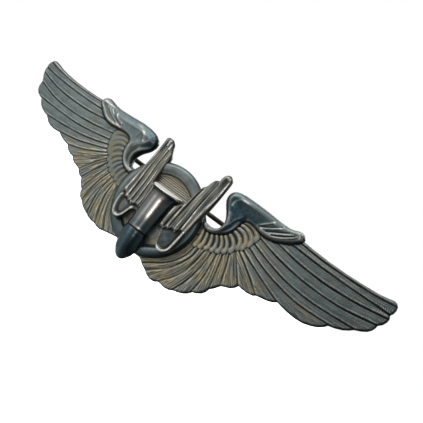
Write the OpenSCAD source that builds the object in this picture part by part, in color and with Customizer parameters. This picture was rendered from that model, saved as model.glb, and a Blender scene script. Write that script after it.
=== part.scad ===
// Aircrew wings badge, three inch size, with a joint, pin stem and locking catch on the back.
// Upright as worn: X to the viewer's right, Z up, the front faces -Y, the cloth side is +Y.
// The origin is the middle of the badge at the height of the round plate, on the back plane of the wing plate.

/* [Wing plate] */
// radius of the bow that bends the wing tips back
bow_r = 146; // [130:170]
// thickness of the feather sheet
sheet_t = 0.9; // [0.8:0.05:1.1]
// height of the covert ribs over the back plane
covert_t = 1.2; // [1.15:0.05:1.35]
// height of the smooth shoulder over the back plane
arm_t = 1.55; // [1.4:0.05:1.8]
// depth of the grooves between feathers
groove_d = 0.22; // [0.1:0.02:0.3]

/* [Round plate] */
// how far the round plate sits off the middle, to the viewer's left
disc_x = -0.4; // [-0.5:0.05:0]
// outside radius of the round plate
disc_r = 7.9; // [7.8:0.05:8]
// width of its domed rim
rim_w = 2; // [1.8:0.1:2.1]
// height of the rim over the back plane
rim_h = 1.85; // [1.7:0.05:1.9]
// height of the sunk field inside the rim
field_h = 1.15; // [1.1:0.05:1.25]
// thickness of the solder between layers
solder_t = 0.08; // [0.06:0.01:0.1]

/* [Bullet] */
// how far the bullet sits off the middle, to the viewer's left
bullet_x = -0.45; // [-0.5:0.05:-0.3]
// height of the bullet's axis over the back plane
bullet_y = 1.75; // [1.6:0.05:1.85]
// radius of the bullet's body
bullet_r = 2.15; // [2.1:0.05:2.2]
// radius of the flared rim at its flat end
bullet_rim_r = 2.75; // [2.5:0.05:2.8]
// slope of its flat end, degrees
bullet_draft = 11; // [9:1:11]

/* [Small wings] */
// thickness of the small wings
mini_t = 1; // [0.8:0.05:1.1]
// how far the small wings lean back, degrees
mini_lean = 5.5; // [4:0.5:6]

/* [Pin stem] */
// diameter of the pin wire
wire_d = 0.8; // [0.7:0.05:0.9]
// height of the pin above the middle of the round plate
pin_z = 4.45; // [4.2:0.05:4.7]
// distance of the pin behind the back plane
pin_y = 4.3; // [4.2:0.05:4.5]
// where the taper to the point begins
taper_x = 17.5; // [16:0.5:18]
// where the point ends
point_x = 25.5; // [24.5:0.5:27]

/* [Joint] */
// position of the joint along the badge
hinge_x = -24; // [-25:0.5:-23]
// diameter of the rivet
rivet_d = 0.9; // [0.8:0.05:1]
// running gap between the stem's eye and the rivet
eye_gap = 0.05; // [0.03:0.01:0.08]
// thickness of the stem's eye
eye_t = 1; // [0.8:0.05:1.1]
// thickness of each ear
ear_t = 0.5; // [0.4:0.05:0.6]

/* [Catch] */
// position of the catch along the badge
catch_x = 21; // [20:0.5:21.5]
// outside radius of the round housing
house_r = 2.3; // [2.25:0.05:2.4]
// bore radius of the housing
house_bore = 1.45; // [1.4:0.05:1.5]
// running gap between the sleeve and the housing
sleeve_gap = 0.05; // [0.03:0.01:0.08]
// width of the slot the pin drops through
slot_w = 1.3; // [1.2:0.05:1.4]
// turn of the sleeve from open to locked, degrees
turn = 135; // [110:5:140]

/* [Hidden] */

$fn = 64;
pad_t = 0.5;
eye_r = 1.1;
ear_gap = 0.05;
tab_a = 12;

// outline of the viewer's right wing, from the notch beside the round plate, over the shoulder
// and the wing tip, and back along the feather ends
right_wing = [
  [0, 7.1], [4, 6.2], [6.4, 4.1], [7.3, 3.1],
  [8.3, 2.95], [9, 3.1], [9.5, 3.5], [9.7, 4], [9.75, 4.6], [9.55, 5.2], [9.2, 5.8], [8.75, 6.4], [8.2, 7.1],
  [7.8, 7.7], [7.65, 8.3], [7.7, 8.9], [7.95, 9.4], [8.4, 9.75], [9.1, 9.97], [10, 10.1], [12, 10.15],
  [14.5, 10.1], [17, 9.97], [18.3, 10], [19.1, 10.18], [19.8, 10.48], [20.4, 10.58], [20.9, 10.4],
  [21.2, 10], [21.3, 9.62], [23, 9.5], [26, 9.42], [29, 9.5], [32, 9.72], [34.5, 9.98], [36, 10.3],
  [36.8, 10.52], [37.35, 10.45], [37.75, 10.05], [37.88, 9.5], [37.8, 8.9], [37.55, 8.4],
  [37.8, 7.9], [37.78, 7.3], [37.5, 6.6], [36.98, 6.05],
  [36.95, 5.6], [36.75, 5], [36.3, 4.4], [35.6, 3.9], [34.6, 3.4],
  [34.1, 2.9], [33.3, 2.35], [32.3, 1.9], [31.3, 1.6],
  [30.9, 1.05], [30.2, 0.45], [29.3, 0], [28.2, -0.4], [27, -0.55], [25.5, -0.5], [24.3, -0.35], [23.4, -0.2],
  [22.8, -0.65], [21.9, -1], [21, -1.2], [20.3, -1.35],
  [19.8, -1.7], [18.9, -1.88], [18, -1.85], [17.3, -1.8],
  [17, -2.35], [16.5, -2.85], [15.7, -3.2], [15.1, -3.5],
  [14.75, -4], [14.4, -4.5], [14, -4.9],
  [13.8, -5.6], [13.4, -6.2], [12.7, -6.7], [12.1, -6.95],
  [11.7, -7.5], [11.1, -7.95], [10.2, -8.35], [9.5, -8.55],
  [8.9, -8.9], [8.1, -9.02], [7.3, -8.88], [6.7, -8.95],
  [6.2, -9.3], [5.5, -9.38], [4.7, -9.15], [4.1, -8.8],
  [3.4, -8.5], [2.7, -8.15], [2.1, -7.75], [1.2, -7.7], [0, -7.6]];

// outline of the viewer's left wing, mirrored; its feathers are spaced a little differently
left_wing = [
  [4, 6.2], [6.4, 4.1], [7.4, 3.3],
  [8.2, 3.05], [8.8, 3.15], [9.15, 3.55], [9.35, 4.1], [9.35, 4.8], [9.1, 5.4], [8.7, 6], [8.15, 6.6],
  [7.75, 7.2], [7.5, 7.9], [7.5, 8.6], [7.8, 9.2], [8.4, 9.6], [9.2, 9.85], [10.3, 10.02], [12, 10.08],
  [14, 9.97], [16, 9.87], [17.5, 9.83], [18.7, 9.97], [19.6, 10.2], [20.4, 10.33], [21.1, 10.2],
  [21.6, 9.8], [21.75, 9.4], [23.5, 9.32], [26, 9.3], [29, 9.4], [32, 9.65], [34, 9.95], [35.5, 10.3],
  [36.5, 10.47], [37.2, 10.35], [37.7, 9.9], [37.9, 9.2], [37.85, 8.4], [37.65, 7.6], [37.3, 7], [36.75, 6.4],
  [36.5, 5.9], [36.45, 5.4], [36.35, 4.8], [36, 4.2], [35.4, 3.75], [34.5, 3.4], [33.9, 3.3],
  [33.5, 2.8], [32.9, 2.3], [32, 1.85], [31, 1.55], [30.1, 1.4],
  [29.5, 1], [28.9, 0.6], [28, 0.3], [27, 0.2], [26, 0.28], [25.2, 0.35],
  [24.6, 0.05], [23.8, -0.22], [22.9, -0.4], [22.1, -0.5],
  [21.7, -0.9], [21.1, -1.25], [20.4, -1.5], [19.7, -1.55],
  [19.2, -2], [18.5, -2.3], [17.8, -2.42], [17.1, -2.6],
  [16.7, -3], [16.2, -3.35], [15.5, -3.5],
  [15.1, -4.1], [14.6, -4.6], [14.1, -4.95],
  [13.9, -5.5], [13.4, -6.1], [12.7, -6.4],
  [12.1, -6.9], [11.3, -7.3], [10.4, -7.6],
  [9.8, -7.85], [8.9, -8.02], [8.1, -8.02],
  [7.5, -8.22], [6.7, -8.28], [6, -8.1],
  [5.2, -7.9], [4.2, -7.7], [3.2, -7.5], [2, -7.4]];

// smooth shoulder and the small tip feather that lies along the leading edge
right_arm = [
  [7.3, 3.1], [8.3, 2.95], [9, 3.1], [9.5, 3.5], [9.7, 4], [9.75, 4.6], [9.55, 5.2], [9.2, 5.8], [8.75, 6.4], [8.2, 7.1],
  [7.8, 7.7], [7.65, 8.3], [7.7, 8.9], [7.95, 9.4], [8.4, 9.75], [9.1, 9.97], [10, 10.1], [12, 10.15],
  [14.5, 10.1], [17, 9.97], [18.3, 10], [19.1, 10.18], [19.8, 10.48], [20.4, 10.58], [20.9, 10.4],
  [21.2, 10], [21.15, 9.4], [20.7, 8.8], [20, 8.15], [19, 7.5], [18, 7], [17, 6.72], [15.8, 6.62], [14.6, 6.8],
  [13.4, 6.95], [12.6, 6.8], [12.1, 6.2], [11.9, 5.4], [11.7, 4.5], [11.3, 3.7], [10.6, 3], [9.8, 2.45],
  [9, 2.12], [8.2, 2.02], [7.5, 2.2]];
left_arm = [
  [7.4, 3.3], [8.2, 3.05], [8.8, 3.15], [9.15, 3.55], [9.35, 4.1], [9.35, 4.8], [9.1, 5.4], [8.7, 6], [8.15, 6.6],
  [7.75, 7.2], [7.5, 7.9], [7.5, 8.6], [7.8, 9.2], [8.4, 9.6], [9.2, 9.85], [10.3, 10.02], [12, 10.08],
  [14, 9.97], [16, 9.87], [17.5, 9.83], [18.7, 9.97], [19.6, 10.2], [20.4, 10.33], [21.1, 10.2],
  [21.6, 9.8], [21.5, 9.1], [20.7, 8.3], [19.9, 7.6], [19, 7.1], [18, 6.8], [16.8, 6.7], [15.5, 6.85],
  [14, 7], [12.6, 6.8], [12, 6.2], [11.9, 5.2], [11.6, 4.2], [11, 3.3], [10.2, 2.55], [9.2, 2.1],
  [8.2, 2], [7.5, 2.3]];

// band of short ribs that follows the shoulder round
coverts = [
  [12, 6.6], [12.8, 7.25], [14.7, 7.1], [15.45, 6.4], [15.62, 5.8], [15.4, 4.9], [14.9, 3.8], [14.1, 2.6],
  [13.1, 1.6], [12.2, 0.8], [11, 0.15], [10, -0.2], [9, -0.6], [8.2, -1], [7.7, -0.9], [7.6, 0.6], [7.62, 2.6],
  [8.3, 2.5], [9.6, 2.85], [10.9, 3.9], [11.4, 5]];

// grooves between the feathers, from the coverts out to the feather ends
right_lines = [
  [[21.2, 9.15], [25, 8.95], [30, 9.1], [34, 9.4], [37.2, 9.9]],
  [[20.3, 8.15], [25, 8.02], [30, 8.08], [34, 8.25], [37.4, 8.4]],
  [[19.2, 6.9], [23, 6.42], [28, 6.35], [33, 6.85], [36.9, 7.6]],
  [[16.2, 5.95], [20, 5.15], [25, 4.65], [31, 4.85], [36.6, 5.95]],
  [[16.1, 4.65], [19, 3.85], [23, 3.05], [28, 2.9], [34.3, 3.5]],
  [[15.8, 3.7], [18, 2.9], [21.5, 2], [26, 1.45], [31.1, 1.75]],
  [[15.3, 2.8], [17.5, 1.9], [20.5, 0.8], [23.2, -0.1]],
  [[14.9, 2.2], [16.6, 1.2], [18.5, 0], [20.2, -1.25]],
  [[14.2, 1.9], [15.2, 0.7], [16.2, -0.5], [17.2, -1.65]],
  [[13.4, 1.2], [14, -0.2], [14.6, -1.9], [15.1, -3.35]],
  [[12.6, 0.6], [13.1, -1], [13.6, -3], [14, -4.75]],
  [[11.8, 0.1], [12.1, -2], [12.3, -4.5], [12.1, -6.8]],
  [[11, -0.1], [11, -3], [10.5, -6], [9.6, -8.4]],
  [[10, -0.5], [9.8, -3], [8.9, -6], [7, -8.8]],
  [[9, -0.9], [8.7, -3], [7.2, -5.8], [4.3, -8.6]],
  [[8.3, -1.4], [7.9, -3.2], [6.3, -5.6], [3.6, -7.6]]];
left_lines = [
  [[21.6, 8.95], [25, 8.85], [30, 8.95], [34, 9.35], [37, 9.8]],
  [[20.8, 7.95], [25, 7.85], [30, 7.95], [34, 8.2], [37.4, 8.6]],
  [[19.6, 6.75], [23, 6.4], [28, 6.3], [33, 6.7], [37, 7.5]],
  [[16.2, 5.6], [20, 5], [25, 4.6], [31, 4.8], [36.3, 5.9]],
  [[16, 4.4], [19, 3.9], [23, 3.4], [28, 3.3], [33.7, 3.45]],
  [[15.8, 3.5], [18, 2.9], [21.5, 2.2], [26, 1.75], [30, 1.5]],
  [[15.3, 2.8], [17.8, 2], [21, 1.1], [25, 0.45]],
  [[14.9, 2.2], [17, 1.2], [19.5, 0.2], [21.9, -0.4]],
  [[14.4, 1.8], [16, 0.7], [17.8, -0.5], [19.5, -1.45]],
  [[13.9, 1.4], [15, 0.2], [16, -1.2], [16.9, -2.5]],
  [[13.2, 0.9], [14, -0.5], [14.8, -2], [15.4, -3.4]],
  [[12.4, 0.4], [13.1, -1.2], [13.7, -3.2], [14, -4.8]],
  [[11.5, 0], [12.2, -2], [12.6, -4.3], [12.6, -6.3]],
  [[10.6, -0.3], [11, -3], [10.8, -5.4], [10.3, -7.5]],
  [[9.6, -0.7], [9.6, -3], [9, -5.6], [8, -7.9]],
  [[8.8, -1.1], [8.4, -3.2], [7.4, -5.8], [5.9, -8]]];

// the small wings beside the bullet
mini_right = [
  [2, -2], [2.6, -2.1], [3, -2.6], [3.15, -3.4], [3.6, -4.3], [4.2, -4.95], [4.8, -5.1], [5.4, -4.9], [5.95, -4.25],
  [6.25, -3.1], [6.35, -1.8], [6.42, -0.5], [6.55, 1], [6.75, 2.5], [6.95, 4], [7.08, 6], [7.12, 8], [7.12, 9.6],
  [7.05, 10.4], [6.85, 10.87], [6.4, 11.1], [5.95, 11.02], [5.6, 10.7], [5.42, 10.2], [5.35, 9.5], [5, 9.35], [4.65, 8.95], [4.4, 8.2],
  [4.2, 7.5], [3.9, 7.2], [3.8, 6.8], [3.55, 5.2], [3.35, 3.5], [2.95, 3.2], [2.6, 2.9], [2.3, 2.3], [2, 2]];
mini_left = [
  [2, -2.1], [2.8, -2.2], [3.3, -2.5], [3.6, -3.3], [3.8, -4], [4.2, -4.7], [4.75, -4.98], [5.4, -4.85], [6, -4.25],
  [6.4, -3.1], [6.6, -2], [6.68, 0], [6.62, 1.6], [6.45, 3.2], [6.35, 5], [6.32, 7], [6.4, 9.6], [6.42, 10.2], [6.15, 10.5],
  [5.6, 10.55], [5.1, 10.45], [4.7, 10.1], [4.4, 9.5], [4.1, 8.9], [3.85, 8.5], [3.6, 8], [3.45, 7.2], [3.4, 6],
  [3.35, 4.5], [3.25, 3.2], [2.9, 3], [2.6, 2.4], [2, 2]];
mini_lines = [
  [[2.75, -1.5], [2.8, 0.5], [3.05, 2.6]],
  [[3.5, -1.4], [3.6, 2], [4.05, 6.8]],
  [[4.3, -1.2], [4.4, 3], [4.75, 8.6]],
  [[5.2, -0.7], [5.3, 4], [5.5, 9]]];

// a smooth line through control points
function at(P, i) = P[max(0, min(len(P) - 1, i))];
function spline(a, b, c, d, t) =
  0.5 * (2 * b + (c - a) * t + (2 * a - 5 * b + 4 * c - d) * t * t + (3 * b - a - 3 * c + d) * t * t * t);
function smooth_line(P, n = 3) = concat(
  [for (i = [0:len(P) - 2]) for (k = [0:n - 1]) spline(at(P, i - 1), P[i], P[i + 1], at(P, i + 2), k / n)],
  [P[len(P) - 1]]);
function side(Q, i) = let (v = at(Q, i + 1) - at(Q, i - 1)) [-v[1], v[0]] / norm(v);
function pull(p, q, d) = p + (q - p) * min(0.8, d / norm(q - p));
function shorten(Q, d) = let (m = len(Q) - 1) concat([pull(Q[0], Q[1], d)], [for (i = [1:m - 1]) Q[i]], [pull(Q[m], Q[m - 1], d)]);
function flip(P) = [for (i = [len(P) - 1:-1:0]) [-P[i][0], P[i][1]]];

// a narrow tapering groove along a line
module line_shape(P, w) {
  Q = shorten(smooth_line(P), 0.45);
  m = len(Q) - 1;
  polygon(concat(
    [for (i = [0:m]) Q[i] + side(Q, i) * w * (0.35 + 0.65 * i / m) / 2],
    [for (i = [m:-1:0]) Q[i] - side(Q, i) * w * (0.35 + 0.65 * i / m) / 2]));
}

// stand an X-Z drawing up between two depths, y0 nearer the front
module stand(y0, y1) {
  translate([0, y1, 0]) rotate([90, 0, 0]) linear_extrude(y1 - y0) children();
}

// everything within t of the bowed back surface, on the front side
module bowed(t) {
  translate([0, bow_r, -14]) cylinder(r = bow_r + t, h = 30, $fn = 1440);
}

module sheet(t) {
  intersection() {
    stand(-3, 8) children();
    difference() {
      bowed(t);
      bowed(0);
    }
  }
}

module wing_plate() {
  color("#54606a")
  difference() {
    union() {
      sheet(sheet_t) polygon(concat(right_wing, flip(left_wing)));
      sheet(covert_t) polygon(coverts);
      sheet(covert_t) polygon(flip(coverts));
      sheet(arm_t) polygon(right_arm);
      sheet(arm_t) polygon(flip(left_arm));
    }
    difference() {
      union() {
        for (P = right_lines) stand(-1.4, 8) line_shape(P, 0.36);
        for (P = left_lines) stand(-1.4, 8) mirror([1, 0]) line_shape(P, 0.36);
      }
      bowed(sheet_t - groove_d);
    }
    // the round plate's own seat
    difference() {
      translate([disc_x, 0, 0]) rotate([90, 0, 0]) translate([0, 0, -0.5]) cylinder(r = disc_r + 0.05, h = 3);
      bowed(sheet_t + 0.04);
    }
  }
}

// the solid round plate before it is fitted over the bow of the wing plate
// s is -1 where it is used in a mirrored piece
module disc_form(s = 1) {
  translate([s * disc_x, 0, 0]) rotate([90, 0, 0]) rotate_extrude($fn = 120) polygon([
    [0, 0.5], [disc_r - 0.1, 0.5], [disc_r, 0.6], [disc_r, rim_h - 0.8], [disc_r - 0.12, rim_h - 0.45],
    [disc_r - 0.4, rim_h - 0.18], [disc_r - 0.75, rim_h - 0.03], [disc_r - 1.1, rim_h], [disc_r - 1.45, rim_h - 0.1],
    [disc_r - rim_w + 0.12, rim_h - 0.4], [disc_r - rim_w, field_h], [0, field_h]]);
}

module round_plate() {
  color("#5b5f5a")
  difference() {
    disc_form();
    bowed(sheet_t + solder_t);
    // ruled field above the bullet
    intersection() {
      translate([disc_x, 0, 0]) rotate([90, 0, 0]) cylinder(r = disc_r - rim_w - 0.1, h = 3);
      for (i = [0:5]) translate([disc_x - 5, -field_h - 1, 3.85 + 0.32 * i]) cube([10, 1.06, 0.1]);
    }
  }
}

module disc_solder() {
  color("#9aa0a0")
  intersection() {
    translate([disc_x, 0, 0]) rotate([90, 0, 0]) translate([0, 0, 0.4]) cylinder(r = disc_r - 1, h = 1);
    difference() {
      bowed(sheet_t + solder_t - 0.005);
      bowed(sheet_t);
    }
    stand(-3, 8) polygon([[-6.5, 3.5], [-4, 5.8], [0, 6.6], [4, 5.8], [6.5, 3.5], [6.5, -5], [3, -6.6], [-3, -6.6], [-6.5, -5]]);
  }
}

function bullet_profile() = [
  [0, -9.75], [0.5, -9.68], [0.95, -9.4], [1.4, -8.75], [1.72, -7.95], [1.94, -7.1], [bullet_r - 0.09, -6.1],
  [bullet_r - 0.02, -5.2], [bullet_r, -4.75], [bullet_r, -4.5], [bullet_r - 0.1, -4.42], [bullet_r - 0.1, -4.3], [bullet_r, -4.22],
  [bullet_r, 1.7], [bullet_r + 0.1, 2.25], [bullet_rim_r - 0.05, 2.7], [bullet_rim_r, 2.88], [bullet_rim_r, 3.6], [0, 3.6]];

// s is -1 where it is used in a mirrored piece
module bullet_form(s = 1) {
  translate([s * bullet_x, -bullet_y, 0])
  difference() {
    rotate_extrude($fn = 96) polygon(bullet_profile());
    // sloping flat end
    translate([-4, 0, 3.45]) rotate([bullet_draft, 0, 0]) translate([0, -8, 0]) cube([8, 16, 4]);
  }
}

module bullet() {
  color("#4a5157")
  difference() {
    bullet_form();
    translate([-5, -field_h - solder_t, -12]) cube([10, 10, 20]);
    // the nose steps up over the rim of the round plate
    translate([-5, -rim_h, -12]) cube([10, 10, 12 - disc_r + rim_w + 0.45]);
  }
}

// a leaning small wing; its lower end sits on the field and its feathers pass over the rim
// s is -1 for the one that is mirrored afterwards
module mini(P, s) {
  difference() {
    union() {
      intersection() {
        translate([0, -2.95 + mini_t, -4.7]) rotate([-mini_lean, 0, 0])
          stand(-mini_t, 0) translate([0, 4.7]) polygon(P);
        translate([0, -6, -6]) cube([10, 8, 20]);
      }
      // foot down to the field
      stand(-2.2, -field_h - solder_t) polygon([[2, -1.8], [3.2, -3.2], [4.6, -3.7], [5.6, -1], [5.3, 2], [4, 3], [2, 1.8]]);
    }
    translate([0, -2.95, -4.7]) rotate([-mini_lean, 0, 0]) difference() {
      union() for (L = mini_lines) stand(-1, 0.18) translate([0, 4.7]) line_shape(L, 0.26);
    }
    disc_form(s);
    bullet_form(s);
    bowed(sheet_t);
  }
}

module small_wing_right() {
  color("#666b68") mini(mini_right, 1);
}

module small_wing_left() {
  color("#666b68") mirror([1, 0, 0]) mini(mini_left, -1);
}

module device_solder() {
  color("#9aa0a0")
  translate([disc_x, 0, 0]) stand(-field_h - solder_t, -field_h)
    polygon([[-3.2, -3], [-4.6, -3.5], [-5.5, -1], [-5.2, 1.8], [-4, 2.8], [4, 2.8], [5.2, 1.8], [5.5, -1], [4.6, -3.5],
             [3.2, -3], [2, -4.6], [-2, -4.6]]);
}

// a formed pad that follows the bow of the back
module pad(x, w, h, t, r = 0.6) {
  intersection() {
    stand(-1, 8) translate([x, pin_z]) square([w, h], center = true);
    difference() {
      bowed(0);
      bowed(-t);
    }
    // rounded corners
    rotate([90, 0, 0]) translate([x, pin_z, -8]) linear_extrude(9) union() {
      square([w - 2 * r, h], center = true);
      square([w, h - 2 * r], center = true);
      for (a = [-1, 1], b = [-1, 1]) translate([a * (w / 2 - r), b * (h / 2 - r)]) circle(r = r);
    }
  }
}

module joint_base() {
  color("#8d8f88")
  difference() {
    union() {
      pad(hinge_x, 5.2, 4.6, pad_t);
      for (s = [-1, 1]) translate([0, 0, pin_z + s * (eye_t / 2 + ear_gap + ear_t / 2)])
        intersection() {
          translate([0, 0, -ear_t / 2]) linear_extrude(ear_t) union() {
            translate([hinge_x, pin_y]) circle(r = 1.25);
            polygon([[hinge_x - 1.25, pin_y], [hinge_x + 1.25, pin_y], [hinge_x + 1.7, 2], [hinge_x + 1.7, 0.5],
                     [hinge_x - 1.7, 0.5], [hinge_x - 1.7, 2]]);
          }
          translate([0, bow_r, -1]) cylinder(r = bow_r - 0.1, h = 2, $fn = 1440);
        }
    }
    translate([hinge_x, pin_y, pin_z - 3]) cylinder(d = rivet_d, h = 6);
  }
}

module joint_rivet() {
  color("#b0aea2")
  translate([hinge_x, pin_y, pin_z]) {
    half = eye_t / 2 + ear_gap + ear_t;
    translate([0, 0, -half]) cylinder(d = rivet_d, h = 2 * half);
    for (m = [0, 1]) mirror([0, 0, m]) translate([0, 0, half]) cylinder(r1 = 0.85, r2 = 0.55, h = 0.32);
  }
}

module pin_stem() {
  color("#c4c4bd")
  translate([hinge_x, pin_y, pin_z]) {
    difference() {
      union() {
        translate([0, 0, -eye_t / 2]) cylinder(r = eye_r, h = eye_t);
        rotate([0, 90, 0]) cylinder(r1 = eye_t / 2 - 0.01, r2 = wire_d / 2, h = 2);
        rotate([0, 90, 0]) cylinder(d = wire_d, h = taper_x - hinge_x);
        translate([taper_x - hinge_x, 0, 0]) rotate([0, 90, 0])
          cylinder(r1 = wire_d / 2, r2 = 0.06, h = point_x - taper_x);
      }
      translate([0, 0, -2]) cylinder(r = rivet_d / 2 + eye_gap, h = 4);
    }
  }
}

module solder_fillet(x, w, h, r) {
  difference() {
    pad(x, w + 0.8, h + 0.8, pad_t * 0.5, r + 0.4);
    stand(-1, 8) translate([x, pin_z]) union() {
      square([w - 2 * r, h], center = true);
      square([w, h - 2 * r], center = true);
      for (a = [-1, 1], b = [-1, 1]) translate([a * (w / 2 - r), b * (h / 2 - r)]) circle(r = r);
    }
  }
}

module joint_solder() {
  color("#9aa0a0") solder_fillet(hinge_x, 5.2, 4.6, 0.6);
}

module catch_solder() {
  color("#9aa0a0") solder_fillet(catch_x, 5, 4.6, 0.9);
}

module catch_base() {
  color("#8d8f88") pad(catch_x, 5, 4.6, pad_t, 0.9);
}

// a wedge of the Y-Z plane about the pin line, angles counted from +Z towards +Y
module sector(a0, a1, r, w) {
  rotate([0, 90, 0]) translate([0, 0, -w / 2]) linear_extrude(w)
    polygon(concat([[0, 0]], [for (k = [0:8]) let (a = a0 + (a1 - a0) * k / 8) [-r * cos(a), r * sin(a)]]));
}

module catch_housing() {
  color("#8d8f88")
  difference() {
    intersection() {
      union() {
        translate([catch_x, pin_y, pin_z]) sphere(r = house_r, $fn = 72);
        translate([catch_x, pin_y, pin_z]) rotate([90, 0, 0]) cylinder(r = 1.5, h = 3.2);
      }
      translate([catch_x - 1.7, -1, pin_z - 4]) cube([3.4, 10, 8]);
      translate([0, bow_r, -3]) cylinder(r = bow_r - pad_t, h = 16, $fn = 1440);
    }
    translate([catch_x, pin_y, pin_z]) {
      translate([-3, 0, 0]) rotate([0, 90, 0]) cylinder(r = house_bore, h = 6);
      translate([-3, 0, -slot_w / 2]) cube([6, 4, slot_w]);
      sector(tab_a - 25, tab_a + turn + 25, 4, 1.1);
    }
  }
}

module catch_sleeve() {
  color("#a7a79e")
  translate([catch_x, pin_y, pin_z])
  difference() {
    union() {
      translate([-1.55, 0, 0]) rotate([0, 90, 0]) cylinder(r = house_bore - sleeve_gap, h = 3.1);
      // thumb tab
      rotate([-tab_a, 0, 0]) {
        translate([-0.45, -0.5, 0.9]) cube([0.9, 1, 2]);
        translate([-0.45, 0, 2.9]) rotate([0, 90, 0]) cylinder(r = 0.5, h = 0.9);
      }
    }
    translate([-3, 0, 0]) rotate([0, 90, 0]) cylinder(r = 0.5, h = 6);
    translate([-3, 0, -0.5]) cube([6, 4, 1]);
  }
}

wing_plate();
disc_solder();
round_plate();
device_solder();
bullet();
small_wing_left();
small_wing_right();
joint_solder();
joint_base();
joint_rivet();
pin_stem();
catch_solder();
catch_base();
catch_housing();
catch_sleeve();
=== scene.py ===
import bpy, math
import numpy as np
from mathutils import Matrix, Vector
from mathutils.geometry import delaunay_2d_cdt


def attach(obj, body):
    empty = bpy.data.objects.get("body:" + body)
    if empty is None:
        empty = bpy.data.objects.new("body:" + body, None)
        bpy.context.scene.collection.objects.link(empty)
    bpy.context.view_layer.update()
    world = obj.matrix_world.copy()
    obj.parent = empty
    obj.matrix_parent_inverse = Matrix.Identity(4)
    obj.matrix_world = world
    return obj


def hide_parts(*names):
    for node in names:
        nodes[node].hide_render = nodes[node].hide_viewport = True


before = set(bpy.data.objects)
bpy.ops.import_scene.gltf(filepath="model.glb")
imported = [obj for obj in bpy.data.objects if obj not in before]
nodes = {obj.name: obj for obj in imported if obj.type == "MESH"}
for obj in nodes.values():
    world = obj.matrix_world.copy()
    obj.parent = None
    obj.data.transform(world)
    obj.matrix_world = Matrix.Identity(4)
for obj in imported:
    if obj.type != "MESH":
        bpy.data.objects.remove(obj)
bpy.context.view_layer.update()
MM = 0.001
STEP = 0.075          # grid of the struck relief, mm
BOW = 146.0                              # radius of the plate's bow, mm
DX = -0.4                                # sideways place of the round plate, mm


# ---------------------------------------------------------------- curves and distances, mm, (x, z) drawings
def spline(P, n):
    P = np.asarray(P, float)
    out = []
    for i in range(len(P) - 1):
        a, b, c, d = P[max(0, i - 1)], P[i], P[i + 1], P[min(len(P) - 1, i + 2)]
        t = (np.arange(n) / n)[:, None]
        out.append(0.5 * (2 * b + (c - a) * t + (2 * a - 5 * b + 4 * c - d) * t**2 + (3 * b - a - 3 * c + d) * t**3))
    return np.vstack(out + [P[-1:]])


def ring(P, n):
    """A closed smooth outline."""
    P = np.asarray(P, float)
    m = len(P)
    out = []
    for i in range(m):
        a, b, c, d = P[(i - 1) % m], P[i], P[(i + 1) % m], P[(i + 2) % m]
        t = (np.arange(n) / n)[:, None]
        out.append(0.5 * (2 * b + (c - a) * t + (2 * a - 5 * b + 4 * c - d) * t**2 + (3 * b - a - 3 * c + d) * t**3))
    return np.vstack(out)


def line_near(P, L):
    """Distance to an open line, which side (+ left of travel), and the arc length at the nearest point."""
    best = np.full(len(P), 1e9)
    sgn = np.ones(len(P))
    arc = np.zeros(len(P))
    s0 = 0.0
    for a, b in zip(L[:-1], L[1:]):
        d = b - a
        ln = math.hypot(*d)
        if ln < 1e-9:
            continue
        px, pz = P[:, 0] - a[0], P[:, 1] - a[1]
        t = np.clip((px * d[0] + pz * d[1]) / ln**2, 0, 1)
        ex, ez = px - t * d[0], pz - t * d[1]
        q = ex * ex + ez * ez
        m = q < best
        best[m] = q[m]
        sgn[m] = np.sign(d[0] * pz[m] - d[1] * px[m])
        arc[m] = s0 + t[m] * ln
        s0 += ln
    return np.sqrt(best), np.where(sgn == 0, 1, sgn), arc


def inside_dist(P, L):
    """Distance to a closed outline, positive inside."""
    C = np.vstack([L, L[:1]])
    d, _, _ = line_near(P, C)
    n = np.zeros(len(P), bool)
    x, z = P[:, 0], P[:, 1]
    for a, b in zip(C[:-1], C[1:]):
        if a[1] == b[1]:
            continue
        m = (a[1] > z) != (b[1] > z)
        xs = a[0] + (z - a[1]) * (b[0] - a[0]) / (b[1] - a[1])
        n ^= m & (x < xs)
    return np.where(n, d, -d)


def smooth(e0, e1, x):
    t = np.clip((x - e0) / (e1 - e0), 0, 1)
    return t * t * (3 - 2 * t)


def dome(d, w):
    """0 at an edge, rising round to 1 at distance w inside it."""
    t = np.clip(d / w, 0, 1)
    return np.sqrt(np.clip(1 - (1 - t) ** 2, 0, 1))


def edge_round(d, w, o=0.06):
    """As dome, but it starts a little way up, so that an edge keeps a short straight wall."""
    return dome(d + o, w + o)


def bump_line(d, w):
    return np.exp(-((d / w) ** 2))


def noise(P, scale, seed):
    """Smooth value noise made from a fixed lattice."""
    r = np.random.RandomState(seed)
    lat = r.rand(64, 64)
    q = P / scale
    i = np.floor(q).astype(int)
    f = q - i
    f = f * f * (3 - 2 * f)
    g = lambda a, b: lat[(i[:, 0] + a) % 64, (i[:, 1] + b) % 64]
    return ((g(0, 0) * (1 - f[:, 0]) + g(1, 0) * f[:, 0]) * (1 - f[:, 1])
            + (g(0, 1) * (1 - f[:, 0]) + g(1, 1) * f[:, 0]) * f[:, 1]) - 0.5


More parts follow.
